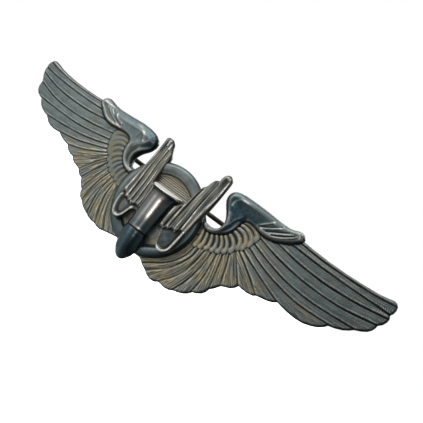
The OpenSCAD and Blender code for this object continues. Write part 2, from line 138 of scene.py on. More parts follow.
# ---------------------------------------------------------------- a struck piece from an outline and a height drawing
def struck(name, outline, height, back, body, sx=1, step=None, edge=0.35, cav_r=0.3):
    """height(P) and back(P) give heights in mm over the y = 0 plane, towards the front; outline in mm, x >= 0 before sx mirrors it.
    height returns (h, tone) with tone an (N, 3) array kept as the attribute 'tone'."""
    step = step or STEP
    lo, hi = outline.min(0) - 2 * step, outline.max(0) + 2 * step
    xs = np.arange(lo[0], hi[0], step)
    zs = np.arange(lo[1], hi[1], step)
    nx, nz = len(xs), len(zs)
    X, Z = np.meshgrid(xs, zs, indexing="ij")
    G = np.stack([X.ravel(), Z.ravel()], 1)
    D = inside_dist(G, outline)
    # keep crossings off the very corners, so there are no slivers
    D = np.where(np.abs(D) < 0.12 * step, np.where(D >= 0, 0.12 * step, -0.12 * step), D)
    D2 = D.reshape(nx, nz)
    I = D2 > 0
    vid = -np.ones((nx, nz), int)
    vid[I] = np.arange(I.sum())
    pts = [G.reshape(nx, nz, 2)[I]]
    count = int(I.sum())
    # crossings along x and along z
    hx = -np.ones((nx, nz), int)
    m = np.zeros((nx, nz), bool)
    m[:-1] = I[:-1] != I[1:]
    k = np.argwhere(m)
    t = D2[k[:, 0], k[:, 1]] / (D2[k[:, 0], k[:, 1]] - D2[k[:, 0] + 1, k[:, 1]])
    pts.append(np.stack([xs[k[:, 0]] + t * step, zs[k[:, 1]]], 1))
    hx[m] = count + np.arange(len(k))
    count += len(k)
    hz = -np.ones((nx, nz), int)
    m = np.zeros((nx, nz), bool)
    m[:, :-1] = I[:, :-1] != I[:, 1:]
    k = np.argwhere(m)
    t = D2[k[:, 0], k[:, 1]] / (D2[k[:, 0], k[:, 1]] - D2[k[:, 0], k[:, 1] + 1])
    pts.append(np.stack([xs[k[:, 0]], zs[k[:, 1]] + t * step], 1))
    hz[m] = count + np.arange(len(k))
    count += len(k)
    pts = np.vstack(pts)
    n_in = int(I.sum())
    # cells: corners a(0,0) b(1,0) c(1,1) d(0,1), edges e=ab f=bc g=dc h=ad
    a, b, c, d = vid[:-1, :-1], vid[1:, :-1], vid[1:, 1:], vid[:-1, 1:]
    e, f, g, h = hx[:-1, :-1], hz[1:, :-1], hx[:-1, 1:], hz[:-1, :-1]
    code = (I[:-1, :-1] * 1 + I[1:, :-1] * 2 + I[1:, 1:] * 4 + I[:-1, 1:] * 8)
    cases = {15: ["abcd"], 1: ["aeh"], 2: ["bfe"], 4: ["cgf"], 8: ["dhg"], 3: ["abfh"], 6: ["bcge"], 12: ["cdhf"], 9: ["aegd"],
             7: ["abcgh"], 11: ["abfgd"], 13: ["aefcd"], 14: ["bcdhe"], 5: ["aeh", "cgf"], 10: ["bfe", "dhg"]}
    src = dict(a=a, b=b, c=c, d=d, e=e, f=f, g=g, h=h)
    faces = []
    for cd, polys in cases.items():
        m = code == cd
        if not m.any():
            continue
        for poly in polys:
            faces += np.stack([src[ch][m] for ch in poly], 1).tolist()
    # boundary segments, in the direction the faces run
    seen = {}
    for fc in faces:
        if len(fc) == 4 and max(fc) < n_in:
            continue
        for i, v in enumerate(fc):
            w = fc[(i + 1) % len(fc)]
            if v >= n_in and w >= n_in:
                seen[(v, w)] = True
    nxt = {v: w for (v, w) in seen if (w, v) not in seen}
    hgt, tone, soft = height(pts)
    # recess map: how far a point lies under its surroundings
    GH = np.zeros(nx * nz)
    GH[I.ravel()] = soft[:n_in]
    W = I.astype(float)
    GH = GH.reshape(nx, nz)

    def blur(A, r):
        kx = np.arange(-3 * r, 3 * r + 1)
        kk = np.exp(-0.5 * (kx / max(r, 0.5)) ** 2)
        for ax in (0, 1):
            out = np.zeros_like(A)
            for s, wgt in zip(kx, kk):
                if s >= 0:
                    sl = [slice(None)] * 2; tl = [slice(None)] * 2
                    sl[ax] = slice(s, None); tl[ax] = slice(None, A.shape[ax] - s)
                else:
                    sl = [slice(None)] * 2; tl = [slice(None)] * 2
                    sl[ax] = slice(None, s); tl[ax] = slice(-s, None)
                out[tuple(tl)] += wgt * A[tuple(sl)]
            A = out
        return A
    r = max(1, int(round(cav_r / step)))
    mean = blur(GH, r) / np.maximum(blur(W, r), 1e-6)
    gi = np.clip(np.round((pts[:, 0] - xs[0]) / step).astype(int), 0, nx - 1)
    gj = np.clip(np.round((pts[:, 1] - zs[0]) / step).astype(int), 0, nz - 1)
    cav = mean[gi, gj] - soft
    cav[n_in:] = 0.05
    # walls and back
    loops = []
    left = dict(nxt)
    while left:
        s, v = next(iter(left.items()))
        lp = [s]
        del left[s]
        while v != s and v in left:
            lp.append(v)
            v = left.pop(v)
        loops.append(lp)
    n_front = len(pts)
    bpts = []
    bmap = {}
    for lp in loops:
        for v in lp:
            bmap[v] = n_front + len(bpts)
            bpts.append(pts[v])
    for v, w in nxt.items():
        faces.append([w, v, bmap[v], bmap[w]])
    big = max(loops, key=len)
    # back face: the loop's own points and a coarse lattice inside it
    cs = 1.6
    bx, bz = np.meshgrid(np.arange(lo[0], hi[0], cs), np.arange(lo[1], hi[1], cs), indexing="ij")
    B = np.stack([bx.ravel(), bz.ravel()], 1)
    B = B[inside_dist(B, outline) > 0.45]
    loop_pts = [pts[v] for v in big]
    tri = delaunay_2d_cdt([Vector(p) for p in loop_pts + list(B)], [], [list(range(len(big)))], 1, 1e-6)
    out_v, _, out_f, orig = tri[0], tri[1], tri[2], tri[3]
    key = {}
    for i, o in enumerate(orig):
        if o and o[0] < len(big):
            key[i] = bmap[big[o[0]]]
        else:
            key[i] = n_front + len(bpts)
            bpts.append(np.array(out_v[i]))
    for fc in out_f:
        q = [key[i] for i in fc]
        A2 = sum(out_v[fc[i]][0] * out_v[fc[(i + 1) % len(fc)]][1] - out_v[fc[(i + 1) % len(fc)]][0] * out_v[fc[i]][1] for i in range(len(fc)))
        faces.append(q[::-1] if A2 > 0 else q)
    bpts = np.array(bpts)
    bh = back(bpts)
    allp = np.vstack([pts, bpts])
    y = -np.concatenate([hgt, bh])
    co = np.stack([sx * allp[:, 0], y, allp[:, 1]], 1) * MM
    if sx < 0:
        faces = [fc[::-1] for fc in faces]
    me = bpy.data.meshes.new(name)
    me.from_pydata(co.tolist(), [], faces)
    me.validate()
    me.polygons.foreach_set("use_smooth", [True] * len(me.polygons))
    nb = noise(bpts, 3.2, 71)
    tn = np.vstack([tone, np.stack([0.22 + 0.6 * nb, 0.05 - 0.5 * nb, np.zeros(len(bpts))], 1)])
    cv = np.concatenate([cav, np.full(len(bpts), 0.0)])
    at = me.attributes.new("tone", "FLOAT_COLOR", "POINT")
    at.data.foreach_set("color", np.concatenate([np.clip(tn, 0, 1), np.ones((len(tn), 1))], 1).ravel())
    at = me.attributes.new("recess", "FLOAT", "POINT")
    at.data.foreach_set("value", cv)
    # the wall meets the back at a crisp edge
    rim = set(nxt) | {bmap[v] for v in nxt}
    sharp = np.zeros(len(me.edges), bool)
    ev = np.zeros(len(me.edges) * 2, int)
    me.edges.foreach_get("vertices", ev)
    ev = ev.reshape(-1, 2)
    isrim = np.zeros(len(allp), bool)
    isrim[list(rim)] = True
    fr = ev < n_front
    both_front = fr[:, 0] & fr[:, 1]
    both_back = ~fr[:, 0] & ~fr[:, 1]
    sharp = isrim[ev[:, 0]] & isrim[ev[:, 1]] & both_back
    sa = me.attributes.new("sharp_edge", "BOOLEAN", "EDGE")
    sa.data.foreach_set("value", sharp)
    me.update()
    ob = bpy.data.objects.new(name, me)
    bpy.context.scene.collection.objects.link(ob)
    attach(ob, body)
    return ob


# ---------------------------------------------------------------- the drawings, as in the part's own source, mm, |x| and z
RIGHT_WING = [
  [0, 7.1], [4, 6.2], [6.4, 4.1], [7.3, 3.1],
  [8.3, 2.95], [9, 3.1], [9.5, 3.5], [9.7, 4], [9.75, 4.6], [9.55, 5.2], [9.2, 5.8], [8.75, 6.4], [8.2, 7.1],
  [7.8, 7.7], [7.65, 8.3], [7.7, 8.9], [7.95, 9.4], [8.4, 9.75], [9.1, 9.97], [10, 10.1], [12, 10.15],
  [14.5, 10.1], [17, 9.97], [18.3, 10], [19.1, 10.18], [19.8, 10.48], [20.4, 10.58], [20.9, 10.4],
  [21.2, 10], [21.3, 9.62], [23, 9.5], [26, 9.42], [29, 9.5], [32, 9.72], [34.5, 9.98], [36, 10.3],
  [36.8, 10.52], [37.35, 10.45], [37.75, 10.05], [37.88, 9.5], [37.8, 8.9], [37.55, 8.4],
  [37.8, 7.9], [37.78, 7.3], [37.5, 6.6], [36.98, 6.05],
  [36.95, 5.6], [36.75, 5], [36.3, 4.4], [35.6, 3.9], [34.6, 3.4],
  [34.1, 2.9], [33.3, 2.35], [32.3, 1.9], [31.3, 1.6],
  [30.9, 1.05], [30.2, 0.45], [29.3, 0], [28.2, -0.4], [27, -0.55], [25.5, -0.5], [24.3, -0.35], [23.4, -0.2],
  [22.8, -0.65], [21.9, -1], [21, -1.2], [20.3, -1.35],
  [19.8, -1.7], [18.9, -1.88], [18, -1.85], [17.3, -1.8],
  [17, -2.35], [16.5, -2.85], [15.7, -3.2], [15.1, -3.5],
  [14.75, -4], [14.4, -4.5], [14, -4.9],
  [13.8, -5.6], [13.4, -6.2], [12.7, -6.7], [12.1, -6.95],
  [11.7, -7.5], [11.1, -7.95], [10.2, -8.35], [9.5, -8.55],
  [8.9, -8.9], [8.1, -9.02], [7.3, -8.88], [6.7, -8.95],
  [6.2, -9.3], [5.5, -9.38], [4.7, -9.15], [4.1, -8.8],
  [3.4, -8.5], [2.7, -8.15], [2.1, -7.75], [1.2, -7.7], [0, -7.6]]
LEFT_WING = [
  [4, 6.2], [6.4, 4.1], [7.4, 3.3],
  [8.2, 3.05], [8.8, 3.15], [9.15, 3.55], [9.35, 4.1], [9.35, 4.8], [9.1, 5.4], [8.7, 6], [8.15, 6.6],
  [7.75, 7.2], [7.5, 7.9], [7.5, 8.6], [7.8, 9.2], [8.4, 9.6], [9.2, 9.85], [10.3, 10.02], [12, 10.08],
  [14, 9.97], [16, 9.87], [17.5, 9.83], [18.7, 9.97], [19.6, 10.2], [20.4, 10.33], [21.1, 10.2],
  [21.6, 9.8], [21.75, 9.4], [23.5, 9.32], [26, 9.3], [29, 9.4], [32, 9.65], [34, 9.95], [35.5, 10.3],
  [36.5, 10.47], [37.2, 10.35], [37.7, 9.9], [37.9, 9.2], [37.85, 8.4], [37.65, 7.6], [37.3, 7], [36.75, 6.4],
  [36.5, 5.9], [36.45, 5.4], [36.35, 4.8], [36, 4.2], [35.4, 3.75], [34.5, 3.4], [33.9, 3.3],
  [33.5, 2.8], [32.9, 2.3], [32, 1.85], [31, 1.55], [30.1, 1.4],
  [29.5, 1], [28.9, 0.6], [28, 0.3], [27, 0.2], [26, 0.28], [25.2, 0.35],
  [24.6, 0.05], [23.8, -0.22], [22.9, -0.4], [22.1, -0.5],
  [21.7, -0.9], [21.1, -1.25], [20.4, -1.5], [19.7, -1.55],
  [19.2, -2], [18.5, -2.3], [17.8, -2.42], [17.1, -2.6],
  [16.7, -3], [16.2, -3.35], [15.5, -3.5],
  [15.1, -4.1], [14.6, -4.6], [14.1, -4.95],
  [13.9, -5.5], [13.4, -6.1], [12.7, -6.4],
  [12.1, -6.9], [11.3, -7.3], [10.4, -7.6],
  [9.8, -7.85], [8.9, -8.02], [8.1, -8.02],
  [7.5, -8.22], [6.7, -8.28], [6, -8.1],
  [5.2, -7.9], [4.2, -7.7], [3.2, -7.5], [2, -7.4]]
RIGHT_ARM = [
  [7.3, 3.1], [8.3, 2.95], [9, 3.1], [9.5, 3.5], [9.7, 4], [9.75, 4.6], [9.55, 5.2], [9.2, 5.8], [8.75, 6.4], [8.2, 7.1],
  [7.8, 7.7], [7.65, 8.3], [7.7, 8.9], [7.95, 9.4], [8.4, 9.75], [9.1, 9.97], [10, 10.1], [12, 10.15],
  [14.5, 10.1], [17, 9.97], [18.3, 10], [19.1, 10.18], [19.8, 10.48], [20.4, 10.58], [20.9, 10.4],
  [21.2, 10], [21.15, 9.4], [20.7, 8.8], [20, 8.15], [19, 7.5], [18, 7], [17, 6.72], [15.8, 6.62], [14.6, 6.8],
  [13.4, 6.95], [12.6, 6.8], [12.1, 6.2], [11.9, 5.4], [11.7, 4.5], [11.3, 3.7], [10.6, 3], [9.8, 2.45],
  [9, 2.12], [8.2, 2.02], [7.5, 2.2]]
LEFT_ARM = [
  [7.4, 3.3], [8.2, 3.05], [8.8, 3.15], [9.15, 3.55], [9.35, 4.1], [9.35, 4.8], [9.1, 5.4], [8.7, 6], [8.15, 6.6],
  [7.75, 7.2], [7.5, 7.9], [7.5, 8.6], [7.8, 9.2], [8.4, 9.6], [9.2, 9.85], [10.3, 10.02], [12, 10.08],
  [14, 9.97], [16, 9.87], [17.5, 9.83], [18.7, 9.97], [19.6, 10.2], [20.4, 10.33], [21.1, 10.2],
  [21.6, 9.8], [21.5, 9.1], [20.7, 8.3], [19.9, 7.6], [19, 7.1], [18, 6.8], [16.8, 6.7], [15.5, 6.85],
  [14, 7], [12.6, 6.8], [12, 6.2], [11.9, 5.2], [11.6, 4.2], [11, 3.3], [10.2, 2.55], [9.2, 2.1],
  [8.2, 2], [7.5, 2.3]]
COVERTS = [
  [12, 6.6], [12.8, 7.25], [14.7, 7.1], [15.45, 6.4], [15.62, 5.8], [15.4, 4.9], [14.9, 3.8], [14.1, 2.6],
  [13.1, 1.6], [12.2, 0.8], [11, 0.15], [10, -0.2], [9, -0.6], [8.2, -1], [7.7, -0.9], [7.6, 0.6], [7.62, 2.6],
  [8.3, 2.5], [9.6, 2.85], [10.9, 3.9], [11.4, 5]]
RIGHT_LINES = [
  [[21.2, 9.15], [25, 8.95], [30, 9.1], [34, 9.4], [37.2, 9.9]],
  [[20.3, 8.15], [25, 8.02], [30, 8.08], [34, 8.25], [37.4, 8.4]],
  [[19.2, 6.9], [23, 6.42], [28, 6.35], [33, 6.85], [36.9, 7.6]],
  [[16.2, 5.95], [20, 5.15], [25, 4.65], [31, 4.85], [36.6, 5.95]],
  [[16.1, 4.65], [19, 3.85], [23, 3.05], [28, 2.9], [34.3, 3.5]],
  [[15.8, 3.7], [18, 2.9], [21.5, 2], [26, 1.45], [31.1, 1.75]],
  [[15.3, 2.8], [17.5, 1.9], [20.5, 0.8], [23.2, -0.1]],
  [[14.9, 2.2], [16.6, 1.2], [18.5, 0], [20.2, -1.25]],
  [[14.2, 1.9], [15.2, 0.7], [16.2, -0.5], [17.2, -1.65]],
  [[13.4, 1.2], [14, -0.2], [14.6, -1.9], [15.1, -3.35]],
  [[12.6, 0.6], [13.1, -1], [13.6, -3], [14, -4.75]],
  [[11.8, 0.1], [12.1, -2], [12.3, -4.5], [12.1, -6.8]],
  [[11, -0.1], [11, -3], [10.5, -6], [9.6, -8.4]],
  [[10, -0.5], [9.8, -3], [8.9, -6], [7, -8.8]],
  [[9, -0.9], [8.7, -3], [7.2, -5.8], [4.3, -8.6]],
  [[8.3, -1.4], [7.9, -3.2], [6.3, -5.6], [3.6, -7.6]]]
LEFT_LINES = [
  [[21.6, 8.95], [25, 8.85], [30, 8.95], [34, 9.35], [37, 9.8]],
  [[20.8, 7.95], [25, 7.85], [30, 7.95], [34, 8.2], [37.4, 8.6]],
  [[19.6, 6.75], [23, 6.4], [28, 6.3], [33, 6.7], [37, 7.5]],
  [[16.2, 5.6], [20, 5], [25, 4.6], [31, 4.8], [36.3, 5.9]],
  [[16, 4.4], [19, 3.9], [23, 3.4], [28, 3.3], [33.7, 3.45]],
  [[15.8, 3.5], [18, 2.9], [21.5, 2.2], [26, 1.75], [30, 1.5]],
  [[15.3, 2.8], [17.8, 2], [21, 1.1], [25, 0.45]],
  [[14.9, 2.2], [17, 1.2], [19.5, 0.2], [21.9, -0.4]],
  [[14.4, 1.8], [16, 0.7], [17.8, -0.5], [19.5, -1.45]],
  [[13.9, 1.4], [15, 0.2], [16, -1.2], [16.9, -2.5]],
  [[13.2, 0.9], [14, -0.5], [14.8, -2], [15.4, -3.4]],
  [[12.4, 0.4], [13.1, -1.2], [13.7, -3.2], [14, -4.8]],
  [[11.5, 0], [12.2, -2], [12.6, -4.3], [12.6, -6.3]],
  [[10.6, -0.3], [11, -3], [10.8, -5.4], [10.3, -7.5]],
  [[9.6, -0.7], [9.6, -3], [9, -5.6], [8, -7.9]],
  [[8.8, -1.1], [8.4, -3.2], [7.4, -5.8], [5.9, -8]]]
MINI_RIGHT = [
  [2, -2], [2.6, -2.1], [3, -2.6], [3.15, -3.4], [3.6, -4.3], [4.2, -4.95], [4.8, -5.1], [5.4, -4.9], [5.95, -4.25],
  [6.25, -3.1], [6.35, -1.8], [6.42, -0.5], [6.55, 1], [6.75, 2.5], [6.95, 4], [7.08, 6], [7.12, 8], [7.12, 9.6],
  [7.05, 10.4], [6.85, 10.87], [6.4, 11.1], [5.95, 11.02], [5.6, 10.7], [5.42, 10.2], [5.35, 9.5], [5, 9.35], [4.65, 8.95], [4.4, 8.2],
  [4.2, 7.5], [3.9, 7.2], [3.8, 6.8], [3.55, 5.2], [3.35, 3.5], [2.95, 3.2], [2.6, 2.9], [2.3, 2.3], [2, 2]]
MINI_LEFT = [
  [2, -2.1], [2.8, -2.2], [3.3, -2.5], [3.6, -3.3], [3.8, -4], [4.2, -4.7], [4.75, -4.98], [5.4, -4.85], [6, -4.25],
  [6.4, -3.1], [6.6, -2], [6.68, 0], [6.62, 1.6], [6.45, 3.2], [6.35, 5], [6.32, 7], [6.4, 9.6], [6.42, 10.2], [6.15, 10.5],
  [5.6, 10.55], [5.1, 10.45], [4.7, 10.1], [4.4, 9.5], [4.1, 8.9], [3.85, 8.5], [3.6, 8], [3.45, 7.2], [3.4, 6],
  [3.35, 4.5], [3.25, 3.2], [2.9, 3], [2.6, 2.4], [2, 2]]
MINI_LINES = [
  [[2.75, -1.5], [2.8, 0.5], [3.05, 2.6]],
  [[3.5, -1.4], [3.6, 2], [4.05, 6.8]],
  [[4.3, -1.2], [4.4, 3], [4.75, 8.6]],
  [[5.2, -0.7], [5.3, 4], [5.5, 9]]]
# ridge lines and dark grooves of the smooth shoulder and of the small tip feather; the first shoulder ridge carries a
# painted highlight, the other ridges rubbed wear
R_ARM_RIDGES = [[[9.4, 7.6], [9.4, 8.3], [9.9, 9], [10.5, 9.15], [13, 9.25], [17, 9.5], [18.6, 9.65]],
                [[7.5, 2.72], [8.4, 2.35], [9.2, 2.5], [10, 3.3], [10.3, 4.4], [10.2, 5.5], [9.8, 6.4]]]
R_ALULA_RIDGES = [[[14.3, 7.4], [15.5, 8.5], [16.3, 9.2]], [[15, 7.3], [16.5, 8.3], [17.5, 9]],
                  [[16.6, 7.4], [18, 8.3], [19.6, 9.3]], [[15.2, 7.15], [17, 7.25], [18.5, 8], [19.5, 8.75], [20.2, 9.4]]]
R_ALULA_GROOVES = [[[14.5, 7.4], [16, 8.1], [17.6, 9.3]], [[15.9, 7.4], [18, 8.6], [19, 9.25]], [[16.9, 7.35], [18.6, 8.3], [19.9, 9.3]]]
R_VALLEY = [[12.2, 6.8], [11.5, 5.6], [11.2, 4.6], [10.7, 3.6], [9.9, 2.75], [8.9, 2.3], [7.6, 2.3]]
L_ARM_RIDGES = [[[9.8, 7.6], [10.2, 8.4], [11, 9], [12.3, 9.35], [15, 9.25], [17.6, 9.3]],
                [[7.6, 2.7], [8.5, 2.35], [9.5, 2.6], [10.4, 3.2], [11, 4.1], [11.3, 5], [11.2, 6], [10.7, 6.9]],
                [[11.25, 8.2], [11.4, 7.2], [11.4, 6.2], [11.3, 5.0]]]
L_ALULA_RIDGES = [[[15, 7.8], [16.5, 8.3], [17, 8.9]], [[15.5, 7.6], [17.5, 8.4], [18.2, 8.9]], [[15.5, 7.2], [17.5, 7.9], [19.4, 9]],
                  [[15, 7.1], [18, 7.2], [19.5, 8], [21, 8.9]], [[18.5, 9.4], [20.9, 9.45], [21.2, 9]]]
L_ALULA_GROOVES = [[[15.3, 7.5], [17, 8.15], [18, 9]], [[16.5, 7.4], [18.4, 8.2], [19.3, 9.1]]]
L_VALLEY = [[8.2, 7.5], [9.5, 6.5], [10.3, 5.4], [10.5, 4.6], [10.2, 3.7], [9.4, 3]]
COVERT_RIBS = [
    [[12.2, 6.6], [13.3, 6.85], [14.5, 6.6], [15.2, 6.0], [15.25, 5.3]], [[12.2, 6.0], [13.2, 6], [14.3, 5.6], [14.95, 4.9], [14.9, 4.15]],
    [[12, 5.3], [13.2, 5.25], [14, 4.75], [14.45, 4.0], [14.35, 3.2]], [[11.9, 4.6], [13, 4.3], [13.7, 3.6], [13.85, 2.75]],
    [[11.6, 3.8], [12.5, 3.35], [13.2, 2.6], [13.2, 1.75]], [[11.25, 3.15], [12, 2.5], [12.5, 1.7], [12.45, 1.05]],
    [[10.7, 2.75], [11.35, 2.05], [11.75, 1.2], [11.65, 0.5]], [[10.05, 2.45], [10.6, 1.7], [10.9, 0.8], [10.8, 0.15]],
    [[9.4, 2.1], [9.8, 1.2], [10, 0.3], [9.85, -0.15]], [[8.6, 1.95], [8.9, 1.0], [9.05, 0.1], [8.9, -0.5]],
    [[7.75, 2.1], [8, 1.1], [8.15, 0.1], [8.1, -0.7]]]

flip = lambda P: [[-a, b] for a, b in P[::-1]]
FULL = np.array(RIGHT_WING + flip(LEFT_WING), float)
# the navy and covert wear keys differ by side partly as painted light: the right shoulder is painted dark navy for the
# shade in its downward-facing hollow and its covert rib tops painted bright, the left ones kept lighter and plainer
SIDES = {
    1: dict(sx=1, arm=RIGHT_ARM, lines=RIGHT_LINES, ridges=R_ARM_RIDGES, al_r=R_ALULA_RIDGES, al_g=R_ALULA_GROOVES, valley=R_VALLEY,
            knob=(20.45, 9.75), lobe=(8.9, 8.5), crisp=1.0, amp=1.0, rib=0.26, navy=1.0, bevel=0.95, crest=0.012, cov_tan=1.0, cov_worn_and_highlight=0.38, seed=3),
    -1: dict(sx=-1, arm=LEFT_ARM, lines=LEFT_LINES, ridges=L_ARM_RIDGES, al_r=L_ALULA_RIDGES, al_g=L_ALULA_GROOVES, valley=L_VALLEY,
             knob=(20.8, 9.5), lobe=(8.8, 8.1), crisp=0.8, amp=0.65, rib=0.10, navy=0.35, bevel=1.35, crest=0.045, cov_tan=0.70, cov_worn_and_highlight=0.03, lead_highlight=[[26, 9.1], [29, 9.08], [32, 9.2], [34.5, 9.55], [36.4, 10.1]], seed=5)}


def y_back(x):
    return BOW - np.sqrt(BOW**2 - x**2)


def longer(c, a, b):
    u = (c[0] - c[1]) / np.hypot(*(c[0] - c[1]))
    w = (c[-1] - c[-2]) / np.hypot(*(c[-1] - c[-2]))
    return np.vstack([c[0] + a * u, c, c[-1] + b * w])


def one_wing(Q, D, S):
    """Heights over the bowed back and tones for one wing; Q holds |x| and z, D the distance inside the outline."""
    n = len(Q)
    near = np.array([line_near(Q, longer(spline(L, 7), 1.2, 3.0)) for L in S["lines"]])
    d, s, arc = near[:, 0], near[:, 1], near[:, 2]
    m = len(d)
    k = (s < 0).sum(0)
    idx = np.arange(n)
    lead = np.where(k > 0, d[np.clip(k - 1, 0, m - 1), idx], D)
    trail = np.where(k < m, d[np.clip(k, 0, m - 1), idx], D)
    width = np.maximum(lead + trail, 0.05)
    v = lead / width
    along = arc[np.clip(k, 0, m - 1), idx]
    inner = smooth(5.5, 8.5, k.astype(float))
    dg = d.min(0)
    gw = 0.09 + 0.05 * smooth(1, 9, along)
    amp = S["amp"]
    wob = noise(Q, 1.3, S["seed"]) * 0.05
    edge_in = np.minimum(lead, trail)
    h = 0.80 + (0.10 * v + 0.04 * np.sin(np.pi * v)) * amp + wob * 0.25
    h += amp * (0.050 * bump_line(trail - 0.25, 0.11) + 0.03 * bump_line(lead - 0.22, 0.09))
    # shaft, and lines along the vane
    mid = 0.46
    off = (v - mid) * width
    h += amp * 0.03 * bump_line(off, 0.10) * smooth(0.6, 1.1, width)
    h += amp * (0.012 + 0.030 * inner) * np.cos(2 * np.pi * lead / 0.31 + 2.5 * wob) * smooth(0.12, 0.3, edge_in)
    streak = noise(np.stack([along, (lead + 11.3 * k) * 6.5], 1), 1.1, S["seed"] + 2) + 0.6 * noise(np.stack([along * 2.0, (lead + 11.3 * k) * 13.0], 1), 1.0, S["seed"] + 4)
    h += (0.012 + 0.012 * amp + 0.016 * inner) * streak * smooth(0.06, 0.22, edge_in)
    gi = d.argmin(0)
    deep = 0.75 + 0.9 * noise(np.stack([arc[gi, idx] / 2.2, gi * 3.7], 1), 1.0, S["seed"] + 13)
    h -= (0.09 + 0.07 * amp) * (1 - 0.30 * inner) * np.clip(deep, 0.3, 1.2) * bump_line(dg, gw)
    root = inner * smooth(5.5, 0.6, along)
    stripe = 2 * noise(np.stack([along * 0.35, (lead + 11.3 * k) * 4.6], 1), 1.0, S["seed"] + 29)
    h += (0.062 + 0.05 * root) * stripe * inner * smooth(0.05, 0.2, edge_in)
    fine = noise(np.stack([along * 1.4, (lead + 11.3 * k) * 26.0], 1), 1.0, S["seed"] + 19)
    h += inner * (0.045 * streak + 0.05 * fine) * smooth(0.05, 0.2, edge_in) * (0.6 + 0.4 * amp)
    soft = h.copy()
    # barbs run out from the shaft towards the tip
    ph = (along - 0.45 * np.abs(off)) / 0.36 + 3 * wob
    weave = np.cos(2 * np.pi * ph) * smooth(0.1, 0.25, edge_in)
    h += (0.026 - 0.019 * inner) * (0.5 + 0.5 * amp) * weave
    tan = 0.10 + 0.60 * inner + 0.22 * smooth(24, 15, Q[:, 0])
    fleck = noise(Q, 0.16, S["seed"] + 17)
    tan = tan * (0.7 + 0.6 * (noise(Q, 2.2, S["seed"] + 7) + 0.5)) + 0.40 * streak * (0.35 + 0.65 * inner) + 0.45 * fine * (0.4 + 0.6 * inner) + 0.3 * fleck
    band = bump_line(Q[:, 1] - 1.15 - 0.03 * (Q[:, 0] - 27) ** 2 / 3, 0.35) * smooth(22, 24.5, Q[:, 0]) * smooth(31, 29, Q[:, 0])
    tan = tan + 0.8 * band * (S["sx"] > 0)
    navy = 0.05 * smooth(25, 35, Q[:, 0]) + 0.20 * (1 - inner) * (noise(Q, 3.1, S["seed"] + 9) + 0.5) - 0.40 * streak * (0.6 - 0.4 * inner) - 0.40 * fine * (0.6 - 0.4 * inner) + 0.10 * (S["sx"] < 0)
    navy = navy + 0.30 * smooth(0.50, 0.92, v) * smooth(0.5, 1.1, width) * (1 - 0.5 * inner) - 0.16 * weave * (1 - 0.75 * inner) - 0.35 * fleck * (1 - 0.5 * inner) + 0.10 * inner
    tan = tan + (0.42 + 0.30 * root) * stripe * inner + 0.25 * root
    navy = (navy - 0.24 * stripe * inner) * (1 - 0.30 * inner)
    worn_and_highlight = 0.25 + (0.45 - 0.15 * inner) * bump_line(trail - 0.25, 0.14) + (0.3 - 0.2 * inner) * bump_line(off, 0.12) + 0.5 * root * np.maximum(stripe, 0)
    # painted highlight: a bright streak along the leading feather of the left wing, raised a little
    if "lead_highlight" in S:
        ds, _, _ = line_near(Q, spline(S["lead_highlight"], 6))
        f = bump_line(ds, 0.24) * (0.35 + 0.65 * smooth(26, 32, Q[:, 0]))
        h, soft = h + 0.05 * f, soft + 0.07 * f
        worn_and_highlight = np.maximum(worn_and_highlight, f)
        navy = navy * (1 - f)
    # short coverts, a band of hooked ribs
    dc = inside_dist(Q, np.array(COVERTS, float))
    ribs = np.array([line_near(Q, spline(L, 6)) for L in COVERT_RIBS])
    ri = ribs[:, 0].argmin(0)
    rd, ra = ribs[ri, 0, idx], ribs[ri, 2, idx]
    rw = 0.30 + 0.17 * smooth(0.3, 3.0, ra)
    cap = np.sqrt(np.clip(1 - (rd / rw) ** 2, 0, 1))
    hc = 0.80 + S["rib"] * cap - 0.13 * S["rib"] * bump_line(rd - 0.17, 0.07) + wob * 0.2
    cov = (dc > -0.35) & ((cap > 0.02) | (dc > 0.1))
    shade = bump_line(np.maximum(rd - rw, 0), 0.12)
    hcov = np.maximum(hc, np.where(dc > 0, 0.80 - 0.25 * S["rib"], h - 0.10 * shade))
    h = np.where(cov, hcov, h - 0.08 * shade * (dc > -0.9))
    soft = np.where(cov, hcov, soft - 0.08 * shade * (dc > -0.9))
    tan = np.where(cov, S["cov_tan"] + 0.4 * noise(Q, 0.9, S["seed"] + 6), tan)
    # covert rib tops: wear and a painted highlight, strong on the right side only
    worn_and_highlight = np.where(cov, S["cov_worn_and_highlight"] * (0.5 + 0.5 * smooth(0.8, 1.0, cap)) * (0.8 + 0.6 * noise(Q, 0.8, S["seed"] + 21)), worn_and_highlight)
    navy = np.where(cov, 0.25 * (1 - cap) - 0.2 * noise(Q, 0.5, S["seed"] + 23) + 0.22 * (S["sx"] < 0), navy)
